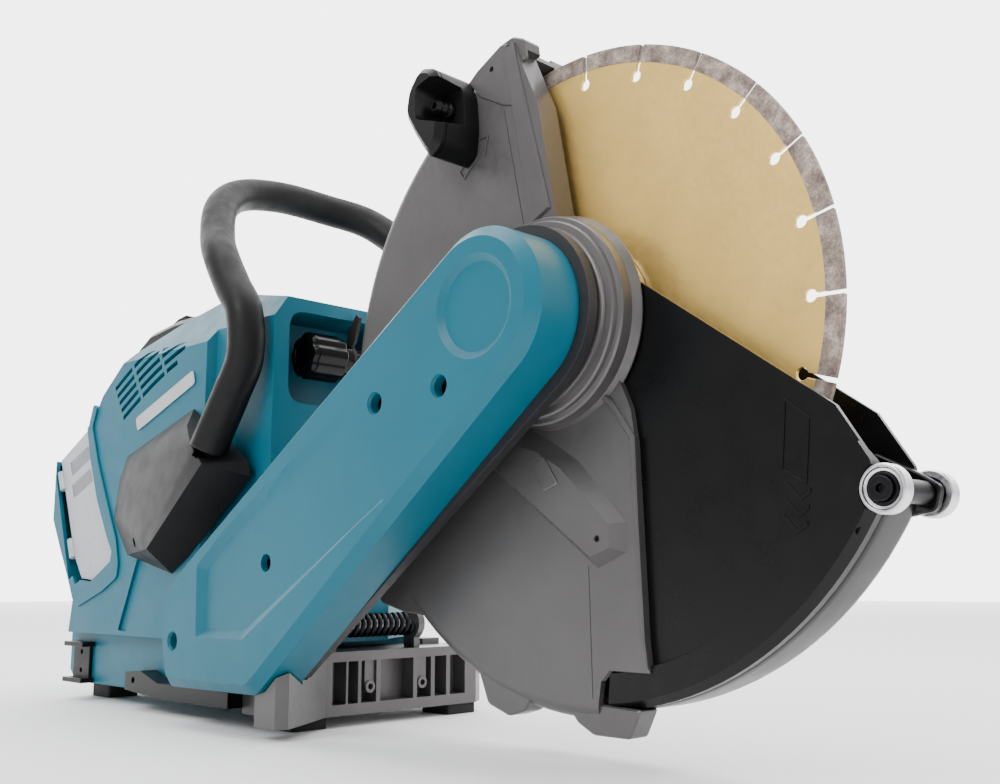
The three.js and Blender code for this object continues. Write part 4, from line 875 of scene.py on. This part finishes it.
def build_housing():
    right, left = BODY_MID_Y - BODY_HALF_W, BODY_MID_Y + BODY_HALF_W
    body = body_form(0)
    round_off = body.modifiers.new("form", 'BEVEL')
    round_off.width = 0.011
    round_off.segments = 6
    round_off.limit_method = 'ANGLE'
    round_off.angle_limit = math.radians(12)
    round_off.use_clamp_overlap = True
    settle(body)
    around = solid(add_loft,
                   [(-190, y, z) for y, z in ((-38, 234), (62, 234), (62, 311), (-38, 311))],
                   [(-303.5, y, z) for y, z in ((-38, 234), (62, 234), (62, 311), (-38, 311))])
    inside = combine('DIFFERENCE', body_form(BODY_WALL), around)
    combine('DIFFERENCE', body, inside)
    bays, swings, grooves = [], [], []
    for low, high in ((right - 2, right + 9), (left - 9, left + 2)):
        bays.append(solid(add_prism, offset(DOOR_OUTLINE, DOOR_SWING_GAP), low, high))
        bays.append(solid(add_prism, [(-537, 300), (-640, 300), (-602, 217), (-592, 219)], low, high))
        swings.append(solid(add_prism, [(-608, 208), (-598, 206), (-562, 130), (-545, 103), (-554, 100),
                                        (-574, 126)], low, high))
    for low, high in ((right - 2, right + 2.4), (left - 2.4, left + 2)):
        groove = rounded([(-442, 122), (-423, 116), (-455, 62), (-470, 62)], 3)
        grooves.append(solid(add_prism, groove, low, high))
    for low, high in ((right - 1, right + 9.6), (left - 9.6, left + 1)):
        knuckle = [(-614, 223), (-602, 228), (-554, 110), (-567, 104)]
        swings.append(solid(add_prism, knuckle, low, high))
    mouth = rounded([(-38, 234), (62, 234), (62, 311), (-38, 311)], 14)
    back = rounded([(-34, 238), (58, 238), (58, 306), (-34, 306)], 14)
    recess = solid(add_loft, [(-190, y, z) for y, z in mouth], [(-300, y, z) for y, z in back])
    shaft_way = solid(add_lathe, [(0, right - 5), (17, right - 5), (17, 0), (0, 0)], (-295.3, 97.2), 48)
    combine('DIFFERENCE', body, *bays, *swings, *grooves, recess, shaft_way, vent_slots())
    other = body.copy()
    other.data = body.data.copy()
    bpy.context.scene.collection.objects.link(other)
    combine('INTERSECT', body, solid(add_slab, [(-700, -100), (-100, -100), (-100, 37.8), (-700, 37.8)],
                                     0, 400, 'Z'))
    combine('INTERSECT', other, solid(add_slab, [(-700, 38.2), (-100, 38.2), (-100, 200), (-700, 200)],
                                      0, 400, 'Z'))
    finished("housing_shell_right", body, "saw", "housing_teal", TEAL, "housing_right", radius=0.7, angle=32)
    finished("housing_shell_left", other, "saw", "housing_teal", TEAL, "housing_left", radius=0.7, angle=32)
    for name, low, high in (("right", right - 1.8, right + 2), ("left", left - 2, left + 1.8)):
        lip = solid(add_prism, rounded([
            (-526, 256), (-533, 240), (-518, 206), (-502, 178), (-478, 138), (-472, 118), (-474, 106),
            (-500, 94), (-545, 80), (-549, 88), (-506, 102), (-484, 113), (-482, 120), (-488, 138),
            (-511, 174), (-526, 204), (-541, 240), (-533, 261)], 3, 3), low, high)
        finished(f"bay_lip_{name}", lip, "saw", "housing_teal", TEAL, radius=1.5)


def build_doors():
    for name, face, inward in (("right", -52.0, 1), ("left", 128.0, -1)):
        bm = bmesh.new()
        for x, z in ((-586, 211), (-580, 190)):
            shape = rounded([(x + 1, z - 1), (x + 35, z + 12.6), (x + 40.6, z + 1.8), (x + 6, z - 11)], 2)
            add_prism(bm, shape, *sorted((face + inward * 0.7, face + inward * 1.3)))
        windows = piece(f"door_windows_{name}", mesh_of(bm, f"door_windows_{name}"), f"door_{name}",
                        "light_plastic", WINDOW_GREY)
        soften(windows, 0.2, 2)


# ---------------------------------------------------------------- camera, light and floor

def build_camera():
    camera = bpy.data.objects.new("camera", bpy.data.cameras.new("camera"))
    bpy.context.scene.collection.objects.link(camera)
    camera.location = place(*CAMERA_AT)
    camera.rotation_euler = Vector(CAMERA_LOOKS).to_track_quat('-Z', 'Y').to_euler()
    camera.data.sensor_width = 36
    camera.data.lens = CAMERA_LENS
    camera.data.clip_start = 0.01
    bpy.context.scene.camera = camera


def area_light(name, at, towards, size, power):
    light = bpy.data.lights.new(name, 'AREA')
    light.shape = 'RECTANGLE'
    light.size, light.size_y = size
    light.energy = power
    obj = bpy.data.objects.new(name, light)
    bpy.context.scene.collection.objects.link(obj)
    obj.location = Vector(at)
    obj.rotation_euler = (Vector(towards) - Vector(at)).to_track_quat('-Z', 'Y').to_euler()


def build_backdrop():
    """A paper ring far round the machine, bright behind it and fading to the sides."""
    bm = bmesh.new()
    turns = [2 * math.pi * i / 96 for i in range(96)]
    feet = [bm.verts.new((4.5 * math.cos(t), 4.5 * math.sin(t), -0.5)) for t in turns]
    heads = [bm.verts.new((4.5 * math.cos(t), 4.5 * math.sin(t), 5.0)) for t in turns]
    for i in range(96):
        j = (i + 1) % 96
        bm.faces.new((feet[i], feet[j], heads[j], heads[i]))
    mesh = mesh_of(bm, "backdrop")
    paper = Surface("backdrop_paper", (0, 0, 0, 1), 0.9, specular=0.0)
    across = paper.nodes.new("ShaderNodeVectorMath")
    across.operation = 'DOT_PRODUCT'
    across.inputs[1].default_value = (CAMERA_LOOKS[0], CAMERA_LOOKS[1], 0)
    paper.links.new(paper.coords, across.inputs[0])
    glow = paper.nodes.new("ShaderNodeMapRange")
    glow.interpolation_type = 'SMOOTHSTEP'
    glow.inputs["From Min"].default_value = 0.6
    glow.inputs["From Max"].default_value = 3.7
    glow.inputs["To Min"].default_value = 0.75
    glow.inputs["To Max"].default_value = 5.0
    paper.links.new(across.outputs["Value"], glow.inputs["Value"])
    paper.shader.inputs["Emission Color"].default_value = (1, 1, 1, 1)
    paper.links.new(glow.outputs["Result"], paper.shader.inputs["Emission Strength"])
    mesh.materials.append(paper.material)
    wall = bpy.data.objects.new("backdrop", mesh)
    bpy.context.scene.collection.objects.link(wall)


def build_studio():
    world = bpy.data.worlds.new("studio")
    bpy.context.scene.world = world
    world.use_nodes = True
    world.node_tree.nodes["Background"].inputs["Color"].default_value = (1, 1, 1, 1)
    world.node_tree.nodes["Background"].inputs["Strength"].default_value = 0.75
    area_light("overhead", (-0.1, 0.1, 1.9), (0, 0, 0.2), (2.2, 1.6), 46)
    area_light("front_key", (0.2, -1.9, 1.7), (-0.05, 0, 0.2), (1.0, 1.0), 34)
    area_light("right_rim", (1.6, 0.3, 0.9), (0.2, 0, 0.2), (0.5, 1.4), 14)
    build_backdrop()
    mesh = bpy.data.meshes.new("floor")
    bm = bmesh.new()
    bmesh.ops.create_grid(bm, x_segments=1, y_segments=1, size=8)
    bm.to_mesh(mesh)
    bm.free()
    floor = bpy.data.objects.new("floor", mesh)
    bpy.context.scene.collection.objects.link(floor)
    paper = Surface("floor_paper", (0.9, 0.9, 0.9, 1), 0.8, specular=0.1)
    mesh.materials.append(paper.material)


# ---------------------------------------------------------------- everything

build_camera()
build_studio()
for material, names in NODE_MATERIAL.items():
    for name in names:
        dress_node(name, material)
build_wheel()
build_spring()
build_handle()
build_cover()
build_guard()
build_front_shell()
build_rollers()
build_grip()
build_cap()
build_housing()
build_doors()
